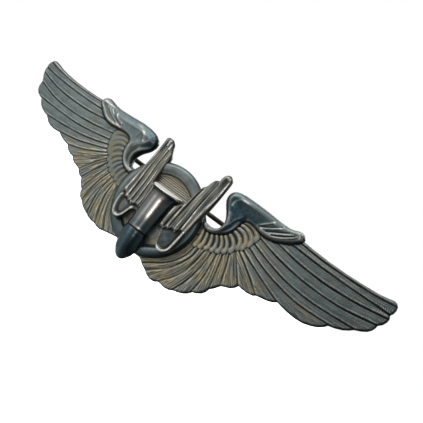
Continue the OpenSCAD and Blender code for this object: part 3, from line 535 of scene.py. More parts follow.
    # shoulder: a broad bevel along the outer edge, a crest, and a smooth slope down to the coverts
    da = inside_dist(Q, ring(S["arm"], 3))
    arm = da > 0
    under = (0.13 if S["sx"] > 0 else 0.05) * bump_line(np.minimum(da, 0), 0.2) * (~arm)
    h = h - under
    soft = soft - under
    up = smooth(5.0, 7.6, Q[:, 1])
    wb = 0.55 + (S["bevel"] - 0.55) * up
    wb = wb - 0.35 * smooth(17.0, 20.0, Q[:, 0])
    t = np.clip(D / wb, 0, 1)
    ha = 0.98 + 0.50 * (1 - (1 - t) ** 1.7) * np.clip(dome(da, 0.30), 0, 1) - 0.13 * (1 - dome(da, 0.5)) * smooth(0.5, 1.0, D)
    ha -= 0.17 * smooth(wb * 0.9, wb + 2.2, D) * up
    ha += S["crest"] * bump_line(D - wb, 0.28)
    lx, lz = S["lobe"]
    ha += 0.05 * np.exp(-(((Q[:, 0] - lx) / 1.2) ** 2 + ((Q[:, 1] - lz) / 1.3) ** 2))
    # painted shade: the shoulder's navy stands for the dark reflection of its hollow, heavy on the right, and on the
    # left laid on the lobe and along the upper edge; it is lightened towards the small tip feather
    navy_a = S["navy"] * (0.92 + 0.08 * smooth(0.9 * wb, 1.3 * wb, D)) if S["sx"] > 0 else (S["navy"] + 0.60 * np.exp(-(((Q[:, 0] - 8.75) / 1.15) ** 2 + ((Q[:, 1] - 7.7) / 1.5) ** 2)) + 0.40 * smooth(1.0, 0.45, D) * smooth(6.0, 7.5, Q[:, 1]) * smooth(20.5, 16.0, Q[:, 0]))
    # painted highlight: a glint streak along the first shoulder ridge, with wear raised, navy cut and the surface
    # lifted a little
    d0, _, a0 = line_near(Q, spline(S["ridges"][0], 6))
    glint = bump_line(d0, 0.20 if S["sx"] > 0 else 0.34) * smooth(4.4, 2.2, a0) * (0.75 + 0.8 * noise(Q, 0.7, S["seed"] + 25))
    worn_and_highlight_a = 0.06 * bump_line(D - wb, 0.25) + 0.95 * glint
    navy_a = navy_a * (1 - 0.9 * np.clip(glint, 0, 1)) * (1 - 0.45 * smooth(14.0, 16.0, Q[:, 0]))
    ha += 0.075 * glint
    for L in S["ridges"][1:]:
        dd, _, _ = line_near(Q, spline(L, 6))
        ha += 0.05 * bump_line(dd, 0.22)
        worn_and_highlight_a = np.maximum(worn_and_highlight_a, 0.3 * bump_line(dd, 0.24))
        navy_a = navy_a * (1 - 0.6 * bump_line(dd, 0.3))
    dv, _, _ = line_near(Q, spline(S["valley"], 6))
    ha -= 0.24 * bump_line(dv, 0.42)
    # small tip feather
    al = smooth(14.0, 15.0, Q[:, 0])
    for L in S["al_r"]:
        dd, _, _ = line_near(Q, spline(L, 6))
        ha += 0.075 * bump_line(dd, 0.15) * al
        worn_and_highlight_a = np.maximum(worn_and_highlight_a, 0.62 * bump_line(dd, 0.18))
        navy_a = navy_a * (1 - 0.6 * bump_line(dd, 0.25))
    for L in S["al_g"]:
        dd, _, _ = line_near(Q, spline(L, 6))
        ha -= 0.08 * bump_line(dd, 0.12) * al
    kx, kz = S["knob"]
    kr = np.hypot(Q[:, 0] - kx, Q[:, 1] - kz)
    ha += 0.07 * np.exp(-(kr / 0.5) ** 2)
    # the knob is raised, and given a painted highlight with less navy
    worn_and_highlight_a = np.maximum(worn_and_highlight_a, 0.6 * np.exp(-(kr / 0.6) ** 2))
    navy_a = navy_a * (1 - 0.6 * np.exp(-(kr / 0.7) ** 2))
    ha += wob * 0.15
    h = np.where(arm, ha, h)
    soft = np.where(arm, ha, soft)
    tan = np.where(arm, 0.05 + 0.6 * bump_line(dv, 0.5) * (S["crisp"] < 0.9), tan)
    near_plate = np.exp(-((np.hypot(Q[:, 0] - S["sx"] * DX, Q[:, 1]) - 8.4) / 1.1) ** 2) * smooth(0.5, -2.5, Q[:, 1])
    tan = tan + 0.75 * near_plate * (0.6 + noise(Q, 0.9, S["seed"] + 15))
    navy = np.where(arm, navy_a * (0.88 + 0.35 * noise(Q, 1.7, S["seed"] + 11) + 0.25 * noise(Q, 0.3, S["seed"] + 27)), navy)
    worn_and_highlight = np.where(arm, worn_and_highlight_a, 0.72 * worn_and_highlight)
    return h, soft, tan, navy, worn_and_highlight


def wing_front(P):
    D = inside_dist(P, FULL)
    h = np.zeros(len(P))
    soft = np.zeros(len(P))
    T = np.zeros((len(P), 3))
    for sx in (1, -1):
        m = (P[:, 0] >= 0) if sx > 0 else (P[:, 0] < 0)
        if m.any():
            Q = np.stack([np.abs(P[m, 0]), P[m, 1]], 1)
            a, b, tan, navy, worn_and_highlight = one_wing(Q, D[m], SIDES[sx])
            h[m] = a
            soft[m] = b
            T[m] = np.stack([tan, navy, worn_and_highlight], 1)
    # the seat of the round plate
    r = np.hypot(P[:, 0] - DX, P[:, 1])
    h = np.where(r < 7.97, np.minimum(h, 0.86), h)
    e = edge_round(D, 0.42)
    h = 0.35 + (h - 0.35) * e
    soft = 0.35 + (soft - 0.35) * e
    # painted shade: a dark navy band laid along the whole outline for the dark reflection on the rounded edges, with
    # tan and wear faded out there
    low = np.exp(-np.maximum(D, 0) / 0.28)
    T[:, 1] = np.maximum(T[:, 1], 0.95 * low)
    T[:, 0] *= 1 - 0.8 * low
    T[:, 2] *= 1 - low
    return h - y_back(P[:, 0]), T, soft - y_back(P[:, 0])


def plate_profile(r):
    u = np.clip((r - 6.9) / 1.0, -1, 1)
    rim = 1.06 + 0.79 * np.sqrt(np.clip(1 - np.abs(u * 0.985) ** 2.3, 0, 1))
    return np.where(r > 5.9, rim, 1.15)


def plate_front(P):
    r = np.hypot(P[:, 0] - DX, P[:, 1])
    h = plate_profile(r)
    field = r < 5.9
    h = np.where(field, 1.15, h)
    ruled = smooth(3.75, 3.85, P[:, 1]) * smooth(5.62, 5.5, r)
    rule = np.cos(2 * np.pi * (P[:, 1] - 3.90 + 0.06 * noise(P, 1.5, 27)) / 0.32)
    h = h - 0.11 * ruled * smooth(-0.2, 0.9, rule)
    h = h + noise(P, 0.8, 21) * 0.012
    h = h + 0.05 * bump_line(r - 5.62, 0.1) * field
    tan = np.where(field, 0.9 - 0.25 * ruled * smooth(-0.2, 0.9, rule), 0.05) * (0.85 + 0.3 * noise(P, 1.1, 23))
    # painted shade: the rim is darker navy over its lower half and its right side, and darkest at its outer edge
    low = np.maximum(smooth(1.0, -3.5, P[:, 1]), smooth(4.5, 6.5, P[:, 0]))
    navy = np.where(field, 0.35 * ruled * smooth(-0.2, 0.9, rule) + 0.25 * noise(P, 0.5, 24), 0.48 + 0.55 * low + 0.35 * noise(P, 2.0, 25) + 0.2 * noise(P, 0.35, 26))
    navy = np.where(r > 7.45, np.maximum(navy, smooth(7.45, 7.8, r)), navy)
    # painted light: the field is brightened below its middle, where the bullet and the small wings shade it; the rim's
    # crest carries wear and a painted highlight, less on its darker parts
    worn_and_highlight = np.where(field, 0.22 + 0.35 * smooth(0, -2, P[:, 1]), 0.45 * bump_line(r - 6.75, 0.35) * (1 - 0.7 * low))
    tan = np.where((r > 5.85) & (r < 6.2), 0.5, tan)
    return h, np.stack([tan, navy, worn_and_highlight], 1), h


def plate_back(P):
    return 0.98 - y_back(P[:, 0])


# ---------------------------------------------------------------- small wings, leaning back over the rim
MINI_R = dict(outline=MINI_RIGHT, ridges=[[[2.25, -1.3], [2.2, 0.5], [2.35, 2.6]], [[3.3, -1.4], [3.35, 2], [3.5, 6.7]],
                                          [[4.45, -1], [4.45, 3], [4.7, 8.5]], [[5.45, -0.4], [5.5, 4], [5.62, 9.6], [5.95, 10.55], [6.6, 10.5]],
                                          [[6.1, -0.5], [6.45, 4], [6.85, 7], [6.85, 9.8]]],
              scallop=[[1.84, -1.92], [2.4, -1.7], [2.84, -1.75], [3.2, -1.35], [3.5, -1.4], [3.95, -0.95], [4.34, -0.92], [4.75, -1.17], [5.05, -0.7], [5.34, -0.42], [5.84, -0.33], [6.34, -0.42]],
              rim=[[2.6, -2.5], [2.95, -3.8], [3.5, -4.55], [4.3, -4.82], [5.2, -4.6], [5.8, -3.8], [6.0, -2], [6.1, -0.6]],
              sx=1, tip=(6.25, 9.6), dish=0.30, dark=0.85, seed=31)
MINI_L = dict(outline=MINI_LEFT, ridges=[[[2.9, -1.3], [2.8, 0.5], [2.9, 2.8]], [[3.6, -1.3], [3.7, 2], [4.1, 8.2]],
                                         [[4.5, -1.5], [4.5, 3], [4.9, 9.6]], [[5.4, -1.2], [5.4, 4], [5.5, 10]],
                                         [[6.35, -0.7], [6.2, 3], [6.1, 6], [6.15, 9.9]]],
              scallop=[[2.3, -1.5], [2.7, -1.4], [3.33, -1.33], [3.75, -1.6], [4.16, -1.83], [4.55, -1.5], [4.83, -1.6], [5.25, -1.3], [5.6, -1.35], [5.83, -1.15], [6.1, -0.7], [6.67, -0.5]],
              rim=[[3.55, -2.4], [3.85, -3.4], [4.2, -4.25], [4.8, -4.65], [5.5, -4.45], [6.05, -3.65], [6.3, -2.6], [6.4, -1.6]],
              sx=-1, tip=(5.95, 8.6), dish=0.26, dark=0.6, seed=37)


def mini_front_for(M):
    out = ring(M["outline"], 4)

    def front(P):
        D = inside_dist(P, out)
        lean = 2.95 - math.tan(math.radians(5.5)) * (P[:, 1] + 4.7)
        g = np.array([line_near(P, spline(L, 6)) for L in MINI_LINES])
        gd = g[:, 0].min(0)
        r = np.array([line_near(P, spline(L, 6)) for L in M["ridges"]])
        rd = r[:, 0].min(0)
        ra = r[r[:, 0].argmin(0), 2, np.arange(len(P))]
        sd, ss, _ = line_near(P, spline(M["scallop"], 6))
        up = smooth(-0.05, 0.25, np.where(ss > 0, sd, -sd))
        h = lean - 0.13
        h = h + up * (0.14 * bump_line(rd, 0.24) - 0.15 * bump_line(gd, 0.12))
        h = h + 0.11 * bump_line(sd + 0.05 * noise(P, 0.25, M["seed"] + 3), 0.14)
        md, _, _ = line_near(P, spline(M["rim"], 6))
        low = 1 - up
        h = h - M["dish"] * low * smooth(0.12, 0.75, md) + 0.08 * low * bump_line(md, 0.22)
        h = h - 0.32 * (1 - edge_round(D, 0.30))
        h = h + noise(P, 0.9, M["seed"]) * 0.02
        tx, tz = M["tip"]
        tip = np.exp(-(((P[:, 0] - tx) / 0.42) ** 2 + ((P[:, 1] - tz) / 1.1) ** 2))
        h = h - 0.10 * tip
        rr = np.hypot(P[:, 0] - M["sx"] * DX, P[:, 1])
        h = h + 0.21 * np.exp(-(((rr - 6.9) / 1.5) ** 2)) * smooth(1.0, 3.5, P[:, 1])
        h = np.where((rr > 5.9) & (rr < 7.9), np.maximum(h, plate_profile(np.clip(rr, 5.95, 7.85)) + 0.015), h)
        soft = h.copy()
        h = h + up * 0.012 * np.cos(2 * np.pi * (ra + 0.8 * rd) / 0.40)
        vein = noise(np.stack([P[:, 0] * 5.5, P[:, 1] * 0.6], 1), 1.0, M["seed"] + 9)
        h = h + up * 0.05 * vein
        tan = (0.40 + 0.6 * vein) * up + 0.12
        navy = M["dark"] * (1 + 0.5 * noise(P, 0.7, M["seed"] + 15)) * low * smooth(0.1, 0.5, md) + (0.30 + 0.5 * noise(P, 1.2, M["seed"] + 5)) * up + 0.35 * up * smooth(0.2, 0.5, rd) - 0.5 * up * vein + 0.9 * tip
        worn_and_highlight = np.maximum((0.38 + 1.1 * noise(np.stack([P[:, 0], P[:, 1] / 1.8], 1), 0.8, M["seed"] + 7)) * up * bump_line(rd, 0.19), np.maximum((0.75 + 0.5 * noise(P, 0.5, M["seed"] + 13)) * bump_line(sd, 0.15), (0.34 + 0.5 * noise(P, 0.9, M["seed"] + 11)) * low * bump_line(md, 0.25)))
        # painted shade: a dark navy band along the small wing's outline
        e = np.exp(-np.maximum(D, 0) / 0.12)
        navy = np.maximum(navy, 0.35 * e)
        return h, np.stack([tan, navy, worn_and_highlight], 1), soft

    def back(P):
        lean = 2.95 - math.tan(math.radians(5.5)) * (P[:, 1] + 4.7)
        r = np.hypot(P[:, 0] - M["sx"] * DX, P[:, 1])
        seat = np.where(r < 5.85, 1.23, np.where(r < 7.9, plate_profile(r) + 0.01, 0.0))
        return np.where(r < 5.85, 1.23, np.maximum(lean - 0.9, seat))
    return out, front, back


# ---------------------------------------------------------------- bullet: half a turned form on a flat seat
def bullet():
    ay, base, step_h, cap_z = 1.75, 1.23, 1.86, 3.45
    slope = math.tan(math.radians(11))
    prof = [(0.20, -9.73), (0.38, -9.69), (0.58, -9.6), (0.80, -9.43), (1.06, -9.13), (1.33, -8.74), (1.57, -8.38), (1.72, -7.95), (1.84, -7.55),
            (1.94, -7.1), (2.01, -6.6), (2.06, -6.1), (2.10, -5.7), (2.11, -5.47), (2.11, -5.43), (2.13, -5.1), (2.14, -4.8), (2.14, -4.5), (2.12, -4.44),
            (2.03, -4.42), (2.01, -4.36), (2.03, -4.3), (2.09, -4.27), (2.10, -4.2)]
    z = -4.0
    while z < 1.5:
        prof.append((2.10 + 0.006 * (z + 4), z))
        z += 0.2
    prof += [(2.135, 1.6), (2.16, 1.9), (2.21, 2.15), (2.31, 2.38), (2.46, 2.58), (2.62, 2.74), (2.72, 2.83), (2.75, 2.88)]
    n = 96
    V, T, F = [], [], []

    def cx(z):
        return -0.53 + 0.24 * float(smooth(1.2, 2.8, np.array(z))) + 0.13 * float(smooth(-4.6, -9.0, np.array(z)))

    def tones(z, deg):
        """tan, navy, wear and painted highlight, and how far under or over its surroundings, by height and angle round
        the axis; the sides, the lower body and the flare carry painted shade, a streak at 19 degrees a painted
        highlight
        """
        # painted shade: the right side, the far left side, the lower body and the flare are darker; painted highlight:
        # a bright streak at 19 degrees and a spot at its foot
        side = float(smooth(30, 52, np.array(deg)))
        left = float(smooth(-42, -72, np.array(deg)))
        crest = math.exp(-((deg - 19) / 12.0) ** 2) * float(smooth(-3.0, -1.2, np.array(z)))
        foot_highlight = math.exp(-((deg - 18) / 18.0) ** 2) * math.exp(-((z + 4.02) / 0.20) ** 2)
        if z < -4.44:
            return (0.05, 1.0, 0.1, 0.0)
        if z < -4.25:
            return (0.1, 0.8, 0.0, 1.0)
        if z > 2.86:
            return (0.1, 0.30, 0.5, 0.0)
        flare = float(smooth(2.0, 2.6, np.array(z)))
        navy = 0.62 + 0.26 * side + 0.30 * left - 0.58 * crest + 0.25 * float(smooth(-1.5, -3.6, np.array(z))) + 0.45 * flare
        return (0.25 + 0.3 * foot_highlight, navy - 0.6 * foot_highlight, min(1.0, 1.0 * crest * (1 - flare) + 0.8 * foot_highlight), 0.5 * flare)

    def loop(r, z0, z_of=None, s=1.0):
        h0 = step_h if z0 < -5.45 else base
        am = math.acos(max(-1.0, min(1.0, (h0 - ay) / r)))
        row = []
        for j in range(n + 1):
            a = -am + 2 * am * j / n
            x, d = r * math.sin(a), r * math.cos(a)
            x, d = x * s, 0.9 + (d - 0.9) * s
            z = z0 if z_of is None else z_of(d)
            V.append((cx(z0) + x, -ay - d, z))
            # rows of the flat end get full wear, which paints a highlight on it
            T.append((0.2, 0.0, 1.0, 0.0) if z_of is not None else tones(z0, math.degrees(a)))
            row.append(len(V) - 1)
        return row
    rows = [loop(r, z) for r, z in prof]
    first_cap = len(rows)
    end = lambda d: cap_z - d * slope
    rows.append(loop(2.75, 2.9, lambda d: max(2.885, end(d) - 0.05)))
    for s, dip in ((0.988, 0.012), (0.965, 0.0), (0.90, 0.0), (0.75, 0.012), (0.55, 0.02), (0.30, 0.012)):
        rows.append(loop(2.75, 2.9, lambda d: end(d) - dip, s))
    n_side = (first_cap + 1) * (n + 1)
    for a, b in zip(rows[:-1], rows[1:]):
        for j in range(n):
            F.append([a[j], a[j + 1], b[j + 1], b[j]])
        F.append([a[n], a[0], b[0], b[n]])
    F.append(rows[0][::-1])
    F.append(rows[-1])
    me = bpy.data.meshes.new("bullet_turned")
    me.from_pydata([(x * MM, y * MM, z * MM) for x, y, z in V], [], F)
    me.validate()
    me.polygons.foreach_set("use_smooth", [len(p.vertices) == 4 for p in me.polygons])
    for p in me.polygons:
        if min(p.vertices) >= n_side:
            p.material_index = 1
    at = me.attributes.new("tone", "FLOAT_COLOR", "POINT")
    at.data.foreach_set("color", np.array([[max(0.0, min(1.0, t[0])), max(0.0, min(1.0, t[1])), t[2], 1.0] for t in T], float).ravel())
    at = me.attributes.new("recess", "FLOAT", "POINT")
    at.data.foreach_set("value", [0.12 * t[3] - 0.06 * t[2] for t in T])
    # the flat back meets the round side at a crisp edge
    sharp = np.zeros(len(me.edges), bool)
    ends = {r[0] for r in rows} | {r[-1] for r in rows}
    for i, e in enumerate(me.edges):
        v = e.vertices
        sharp[i] = v[0] in ends and v[1] in ends
    sa = me.attributes.new("sharp_edge", "BOOLEAN", "EDGE")
    sa.data.foreach_set("value", sharp)
    me.update()
    ob = bpy.data.objects.new("bullet_turned", me)
    bpy.context.scene.collection.objects.link(ob)
    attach(ob, "badge")
    return ob


# ---------------------------------------------------------------- materials
def shader(name):
    m = bpy.data.materials.new(name)
    m.use_nodes = True
    nt = m.node_tree
    nt.nodes.clear()
    out = nt.nodes.new("ShaderNodeOutputMaterial")
    bs = nt.nodes.new("ShaderNodeBsdfPrincipled")
    nt.links.new(bs.outputs[0], out.inputs[0])
    return m, nt, bs


class G:
    """Short calls for building a node graph."""

    def __init__(self, nt):
        self.nt = nt

    def n(self, kind, **kw):
        x = self.nt.nodes.new(kind)
        for k, v in kw.items():
            setattr(x, k, v)
        return x

    def put(self, sock, v):
        if isinstance(v, (int, float)):
            sock.default_value = v
        elif isinstance(v, tuple):
            sock.default_value = (*v, 1.0) if len(v) == 3 else v
        else:
            self.nt.links.new(v, sock)

    def math(self, op, a, b=0.0, clamp=False):
        x = self.n("ShaderNodeMath", operation=op, use_clamp=clamp)
        self.put(x.inputs[0], a)
        self.put(x.inputs[1], b)
        return x.outputs[0]

    def remap(self, v, a, b, c=0.0, d=1.0, smooth=True):
        x = self.n("ShaderNodeMapRange", interpolation_type="SMOOTHSTEP" if smooth else "LINEAR")
        for i, w in enumerate((v, a, b, c, d)):
            self.put(x.inputs[i], w)
        return x.outputs[0]

    def mix(self, f, a, b):
        x = self.n("ShaderNodeMix", data_type="RGBA")
        self.put(x.inputs[0], f)
        self.put(x.inputs[6], a)
        self.put(x.inputs[7], b)
        return x.outputs[2]

    def noise(self, vec, scale, detail=4.0, rough=0.55):
        x = self.n("ShaderNodeTexNoise")
        self.nt.links.new(vec, x.inputs["Vector"])
        x.inputs["Scale"].default_value = scale
        x.inputs["Detail"].default_value = detail
        x.inputs["Roughness"].default_value = rough
        return x.outputs[0]


def struck_silver(name, mid, tan, navy, black, bright, rough=0.36, wear_and_highlight_gain=1.0, dark_gain=1.0, rust=(0.222, 0.184, 0.102), grit=0.35, metal=1.0, speck=1.0):
    m, nt, bs = shader(name)
    g = G(nt)
    obj = g.n("ShaderNodeTexCoord").outputs["Object"]
    ta = g.n("ShaderNodeAttribute", attribute_name="tone")
    sep = g.n("ShaderNodeSeparateColor")
    nt.links.new(ta.outputs["Color"], sep.inputs[0])
    rec = g.n("ShaderNodeAttribute", attribute_name="recess").outputs["Fac"]
    big = g.noise(obj, 420.0, 5.0)
    mid_n = g.noise(obj, 1900.0, 5.0)
    fine = g.noise(obj, 9000.0, 3.0)
    if speck < 1.0:
        mid_n = g.math("ADD", 0.5 - 0.5 * speck, g.math("MULTIPLY", mid_n, speck))
        fine = g.math("ADD", 0.5 - 0.5 * speck, g.math("MULTIPLY", fine, speck))
    rj = g.math("ADD", rec, g.math("MULTIPLY", g.math("SUBTRACT", mid_n, 0.5), 0.02))
    dark = g.math("MULTIPLY", g.remap(rj, 0.008, 0.085), dark_gain, True)
    high = g.remap(rj, -0.006, -0.06)
    # raised places and the third tone channel give rubbed wear, and also the painted highlights laid into that channel
    wear_and_highlight = g.math("MULTIPLY", g.math("MULTIPLY", high, g.math("ADD", sep.outputs[2], 0.15)),
                  g.math("MULTIPLY", g.remap(mid_n, 0.36, 0.62, 0.55, 1.15), wear_and_highlight_gain), True)
    tf = g.math("MULTIPLY", sep.outputs[0], g.remap(g.math("ADD", g.math("MULTIPLY", big, 0.6), g.math("MULTIPLY", mid_n, 0.4)), 0.40, 0.60, 0.35, 1.15), True)
    nf = g.math("MULTIPLY", sep.outputs[1], g.remap(mid_n, 0.35, 0.6, 0.85, 1.05), True)
    c = g.mix(g.remap(big, 0.4, 0.6), mid, tuple(v * 0.8 for v in mid))
    c = g.mix(tf, c, tan)
    c = g.mix(g.remap(g.math("MULTIPLY", sep.outputs[0], g.remap(big, 0.40, 0.62, 0.75, 1.1)), 0.72, 1.0, 0.0, 0.55), c, rust)
    c = g.mix(nf, c, navy)
    c = g.mix(dark, c, black)
    c = g.mix(wear_and_highlight, c, bright)
    nt.links.new(c, bs.inputs["Base Color"])
    r = g.math("ADD", rough, g.math("SUBTRACT", g.math("MULTIPLY", tf, 0.12), g.math("MULTIPLY", nf, 0.09)))
    r = g.math("ADD", r, g.math("MULTIPLY", dark, 0.16))
    r = g.math("ADD", r, g.math("MULTIPLY", g.math("SUBTRACT", fine, 0.5), 0.16))
    r = g.math("SUBTRACT", r, g.math("MULTIPLY", wear_and_highlight, 0.06), True)
    nt.links.new(r, bs.inputs["Roughness"])
    nt.links.new(g.math("SUBTRACT", metal, g.math("MULTIPLY", tf, 0.35), True), bs.inputs["Metallic"])
    b = g.n("ShaderNodeBump")
    b.inputs["Strength"].default_value = grit
    b.inputs["Distance"].default_value = 0.00002
    nt.links.new(g.math("ADD", fine, g.math("MULTIPLY", mid_n, 0.6)), b.inputs["Height"])
    nt.links.new(b.outputs[0], bs.inputs["Normal"])
    return m


def plain_metal(name, base, dark, rough, grain_axis, scale=1500.0, bump=0.25, tarnish=0.5):
    """Finding metal: fine drawn or milled grain, tarnish patches and rubbed spots."""
    m, nt, bs = shader(name)
    g = G(nt)
    obj = g.n("ShaderNodeTexCoord").outputs["Object"]
    mp = g.n("ShaderNodeMapping")
    nt.links.new(obj, mp.inputs["Vector"])
    sc = [1.0, 1.0, 1.0]
    sc[grain_axis] = 0.08
    mp.inputs["Scale"].default_value = sc
    grain = g.noise(mp.outputs[0], scale * 4, 4.0)
    patch = g.noise(obj, 520.0, 5.0)
    spot = g.noise(obj, 3200.0, 4.0)
    f = g.remap(g.math("ADD", g.math("MULTIPLY", patch, 0.7), g.math("MULTIPLY", spot, 0.3)), 0.42, 0.60, 0.0, tarnish * 1.6)
    c = g.mix(f, base, dark)
    c = g.mix(g.remap(grain, 0.52, 0.68, 0.0, 0.35), c, tuple(min(1.0, v * 1.5) for v in base))
    nt.links.new(c, bs.inputs["Base Color"])
    r = g.math("ADD", rough, g.math("MULTIPLY", g.math("SUBTRACT", grain, 0.5), 0.22))
    nt.links.new(g.math("ADD", r, g.math("MULTIPLY", f, 0.12), True), bs.inputs["Roughness"])
    bs.inputs["Metallic"].default_value = 1.0
    b = g.n("ShaderNodeBump")
    b.inputs["Strength"].default_value = bump
    b.inputs["Distance"].default_value = 0.00002
    nt.links.new(g.math("ADD", grain, g.math("MULTIPLY", spot, 0.7)), b.inputs["Height"])
    nt.links.new(b.outputs[0], bs.inputs["Normal"])
    return m


MID = (0.170, 0.203, 0.200)
TAN = (0.205, 0.173, 0.094)
NAVY = (0.028, 0.065, 0.085)
BLACK = (0.022, 0.023, 0.018)
BRIGHT = (0.57, 0.56, 0.50)
m_wing = struck_silver("wing_silver", MID, TAN, NAVY, BLACK, BRIGHT, dark_gain=0.92)
m_plate = struck_silver("plate_silver", (0.17, 0.195, 0.195), (0.30, 0.24, 0.130), (0.042, 0.073, 0.083), BLACK, (0.42, 0.43, 0.40), rough=0.34, rust=(0.30, 0.225, 0.108), dark_gain=0.65)
m_bullet = struck_silver("bullet_silver", (0.40, 0.37, 0.33), (0.42, 0.31, 0.22), (0.058, 0.096, 0.114), BLACK, (1.0, 0.94, 0.86), rough=0.25, grit=0.05, speck=0.35)
m_mini = struck_silver("small_wing_silver", (0.19, 0.20, 0.19), (0.25, 0.22, 0.15), (0.04, 0.055, 0.06), BLACK, (0.78, 0.77, 0.71), rough=0.30)
# the flat end: near white and hardly metallic, a painted highlight standing for its bright reflection
m_end = struck_silver("bullet_end_painted_highlight", (0.92, 0.91, 0.88), (0.80, 0.77, 0.70), (0.4, 0.4, 0.4), BLACK, (0.97, 0.96, 0.94), rough=0.50, grit=0.1, metal=0.06)

for n, mt in (("disc_solder", plain_metal("solder", (0.42, 0.42, 0.40), (0.22, 0.22, 0.20), 0.45, 1, 900.0, 0.5)),
              ("joint_base", plain_metal("finding_metal", (0.46, 0.45, 0.41), (0.20, 0.19, 0.17), 0.34, 0)),
              ("joint_rivet", plain_metal("rivet_metal", (0.55, 0.53, 0.48), (0.25, 0.24, 0.20), 0.30, 2)),
              ("pin_stem", plain_metal("pin_wire", (0.055, 0.048, 0.042), (0.02, 0.018, 0.016), 0.36, 0)),
              ("catch_sleeve", plain_metal("sleeve_metal", (0.52, 0.50, 0.46), (0.24, 0.23, 0.20), 0.28, 0))):
    same = {"disc_solder": ["disc_solder", "device_solder", "joint_solder", "catch_solder"], "joint_base": ["joint_base", "catch_base", "catch_housing"]}
    for k in same.get(n, [n]):
        o = nodes[k]
        o.data.materials.clear()
        o.data.materials.append(mt)

# ---------------------------------------------------------------- camera first, then the pieces
cam = bpy.data.objects.new("camera", bpy.data.cameras.new("camera"))
bpy.context.scene.collection.objects.link(cam)
R = [[0.75993224, 0.2437521, 0.60256776], [0.56053627, 0.22359542, -0.7973733], [-0.32909281, 0.94371076, 0.03328548]]
cam.matrix_world = Matrix([[R[0][i], -R[1][i], -R[2][i], p * MM] for i, p in enumerate((40.459, -96.505, 1.519))] + [[0, 0, 0, 1]])
cam.data.sensor_width = 36.0
cam.data.lens = 649.77 / 423 * 36.0
cam.data.clip_start = 0.005
cam.data.clip_end = 20.0
bpy.context.scene.camera = cam
bpy.context.scene.view_settings.view_transform = "Standard"
bpy.context.scene.view_settings.look = "None"

wing = struck("wing_plate_struck", FULL, wing_front, lambda P: -y_back(P[:, 0]), "badge", step=0.09)
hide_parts("wing_plate")
wing.data.materials.append(m_wing)

t = np.linspace(0, 2 * np.pi, 241)[:-1]
plate = struck("round_plate_struck", np.stack([DX + 7.9 * np.cos(t), 7.9 * np.sin(t)], 1), plate_front, plate_back, "badge", step=0.07)
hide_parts("round_plate")
plate.data.materials.append(m_plate)

blt = bullet()
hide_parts("bullet")
blt.data.materials.append(m_bullet)
blt.data.materials.append(m_end)

for M, sx, nm in ((MINI_R, 1, "small_wing_right"), (MINI_L, -1, "small_wing_left")):
    o, f, b = mini_front_for(M)
    ob = struck(nm + "_struck", o, f, b, "badge", sx=sx, step=0.06)
    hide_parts(nm)
    ob.data.materials.append(m_mini)

# ---------------------------------------------------------------- floor, world and lights
fm, nt, bs = shader("floor_paper")
g = G(nt)
obj = g.n("ShaderNodeTexCoord").outputs["Object"]
nt.links.new(g.mix(g.noise(obj, 40.0), (0.90, 0.90, 0.90), (0.94, 0.94, 0.94)), bs.inputs["Base Color"])
bs.inputs["Roughness"].default_value = 0.9
bs.inputs["Emission Color"].default_value = (1, 1, 1, 1)
bs.inputs["Emission Strength"].default_value = 0.6
me = bpy.data.meshes.new("floor")
me.from_pydata([(-6, -6, 0), (6, -6, 0), (6, 6, 0), (-6, 6, 0)], [], [[0, 1, 2, 3]])
floor = bpy.data.objects.new("floor", me)
floor.location.z = -0.030
floor.data.materials.append(fm)
bpy.context.scene.collection.objects.link(floor)

w = bpy.data.worlds.new("studio")
bpy.context.scene.world = w
w.use_nodes = True
nt = w.node_tree
nt.nodes.clear()
g = G(nt)
out = g.n("ShaderNodeOutputWorld")
bg = g.n("ShaderNodeBackground")
d = g.n("ShaderNodeTexCoord").outputs["Generated"]
sx = g.n("ShaderNodeSeparateXYZ")
nt.links.new(d, sx.inputs[0])
ramp = g.n("ShaderNodeValToRGB")
nt.links.new(g.math("ADD", g.math("MULTIPLY", sx.outputs[0], 0.5), 0.5), ramp.inputs[0])
els = ramp.color_ramp.elements
els[0].position, els[1].position = 0.0, 1.0
els[0].color, els[1].color = (0.7, 0.7, 0.7, 1), (0.34, 0.34, 0.34, 1)
for p, c in ((0.18, 1.05), (0.335, 0.78), (0.52, 0.54), (0.60, 0.56), (0.70, 0.34), (0.86, 0.12)):
    e = els.new(p)
    e.color = (c, c, c, 1)
right = g.remap(sx.outputs[0], -0.5, 0.1)
v_l = g.remap(sx.outputs[2], -0.6, 0.6, 0.70, 1.1)
v_r = g.remap(sx.outputs[2], -0.5, 0.5, 0.30, 1.25)
vert = g.math("ADD", g.math("MULTIPLY", v_l, g.math("SUBTRACT", 1.0, right)), g.math("MULTIPLY", v_r, right))
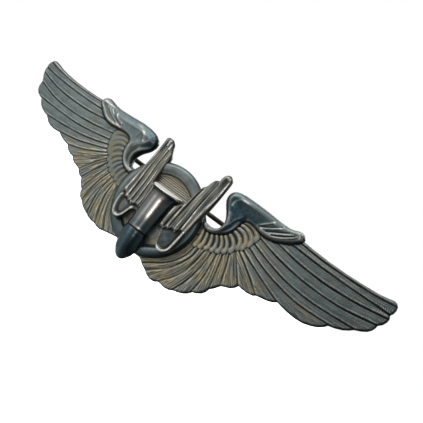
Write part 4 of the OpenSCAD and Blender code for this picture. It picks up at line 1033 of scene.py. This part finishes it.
behind = g.remap(sx.outputs[1], -0.1, 0.4, 1.0, 0.92)
val = g.math("MULTIPLY", g.math("MULTIPLY", ramp.outputs[0], vert), behind)


def card(val, aim, c0, c1, power):
    dot = g.n("ShaderNodeVectorMath", operation="DOT_PRODUCT")
    nt.links.new(d, dot.inputs[0])
    dot.inputs[1].default_value = Vector(aim).normalized()
    return g.math("ADD", val, g.remap(dot.outputs["Value"], c0, c1, 0.0, power))


val = card(val, (-0.62, -0.77, 0.08), 0.955, 0.985, 0.9)
val = card(val, (0.30, -0.953, 0.02), 0.972, 0.995, 1.35)
val = card(val, (-0.33, 0.83, 0.44), 0.86, 0.95, 2.4)
val = card(val, (-0.30, 0.05, 0.95), 0.92, 0.98, 1.0)
val = card(val, (-0.35, -0.45, 0.82), 0.95, 0.985, 2.4)
comb = g.n("ShaderNodeCombineColor")
for i in range(3):
    nt.links.new(val, comb.inputs[i])
shown = g.n("ShaderNodeBackground")
shown.inputs["Color"].default_value = (1, 1, 1, 1)
nt.links.new(comb.outputs[0], bg.inputs["Color"])
mixw = g.n("ShaderNodeMixShader")
nt.links.new(g.n("ShaderNodeLightPath").outputs["Is Camera Ray"], mixw.inputs[0])
nt.links.new(bg.outputs[0], mixw.inputs[1])
nt.links.new(shown.outputs[0], mixw.inputs[2])
nt.links.new(mixw.outputs[0], out.inputs[0])


def area(name, loc, aim, size, power, color=(1, 1, 1)):
    li = bpy.data.lights.new(name, "AREA")
    li.shape = "RECTANGLE"
    li.size, li.size_y = size
    li.energy = power
    li.color = color
    o = bpy.data.objects.new(name, li)
    o.location = loc
    o.rotation_euler = (Vector(aim) - Vector(loc)).to_track_quat("-Z", "Y").to_euler()
    bpy.context.scene.collection.objects.link(o)
    return o


area("key", (-0.30, -0.34, 0.30), (0, 0, 0), (0.20, 0.14), 0.25, (1.0, 0.97, 0.93))
area("floor_wash", (0.3, 1.2, 0.9), (0.1, 0.9, 0), (1.2, 1.2), 20.0)
bpy.data.objects["floor"].visible_glossy = False
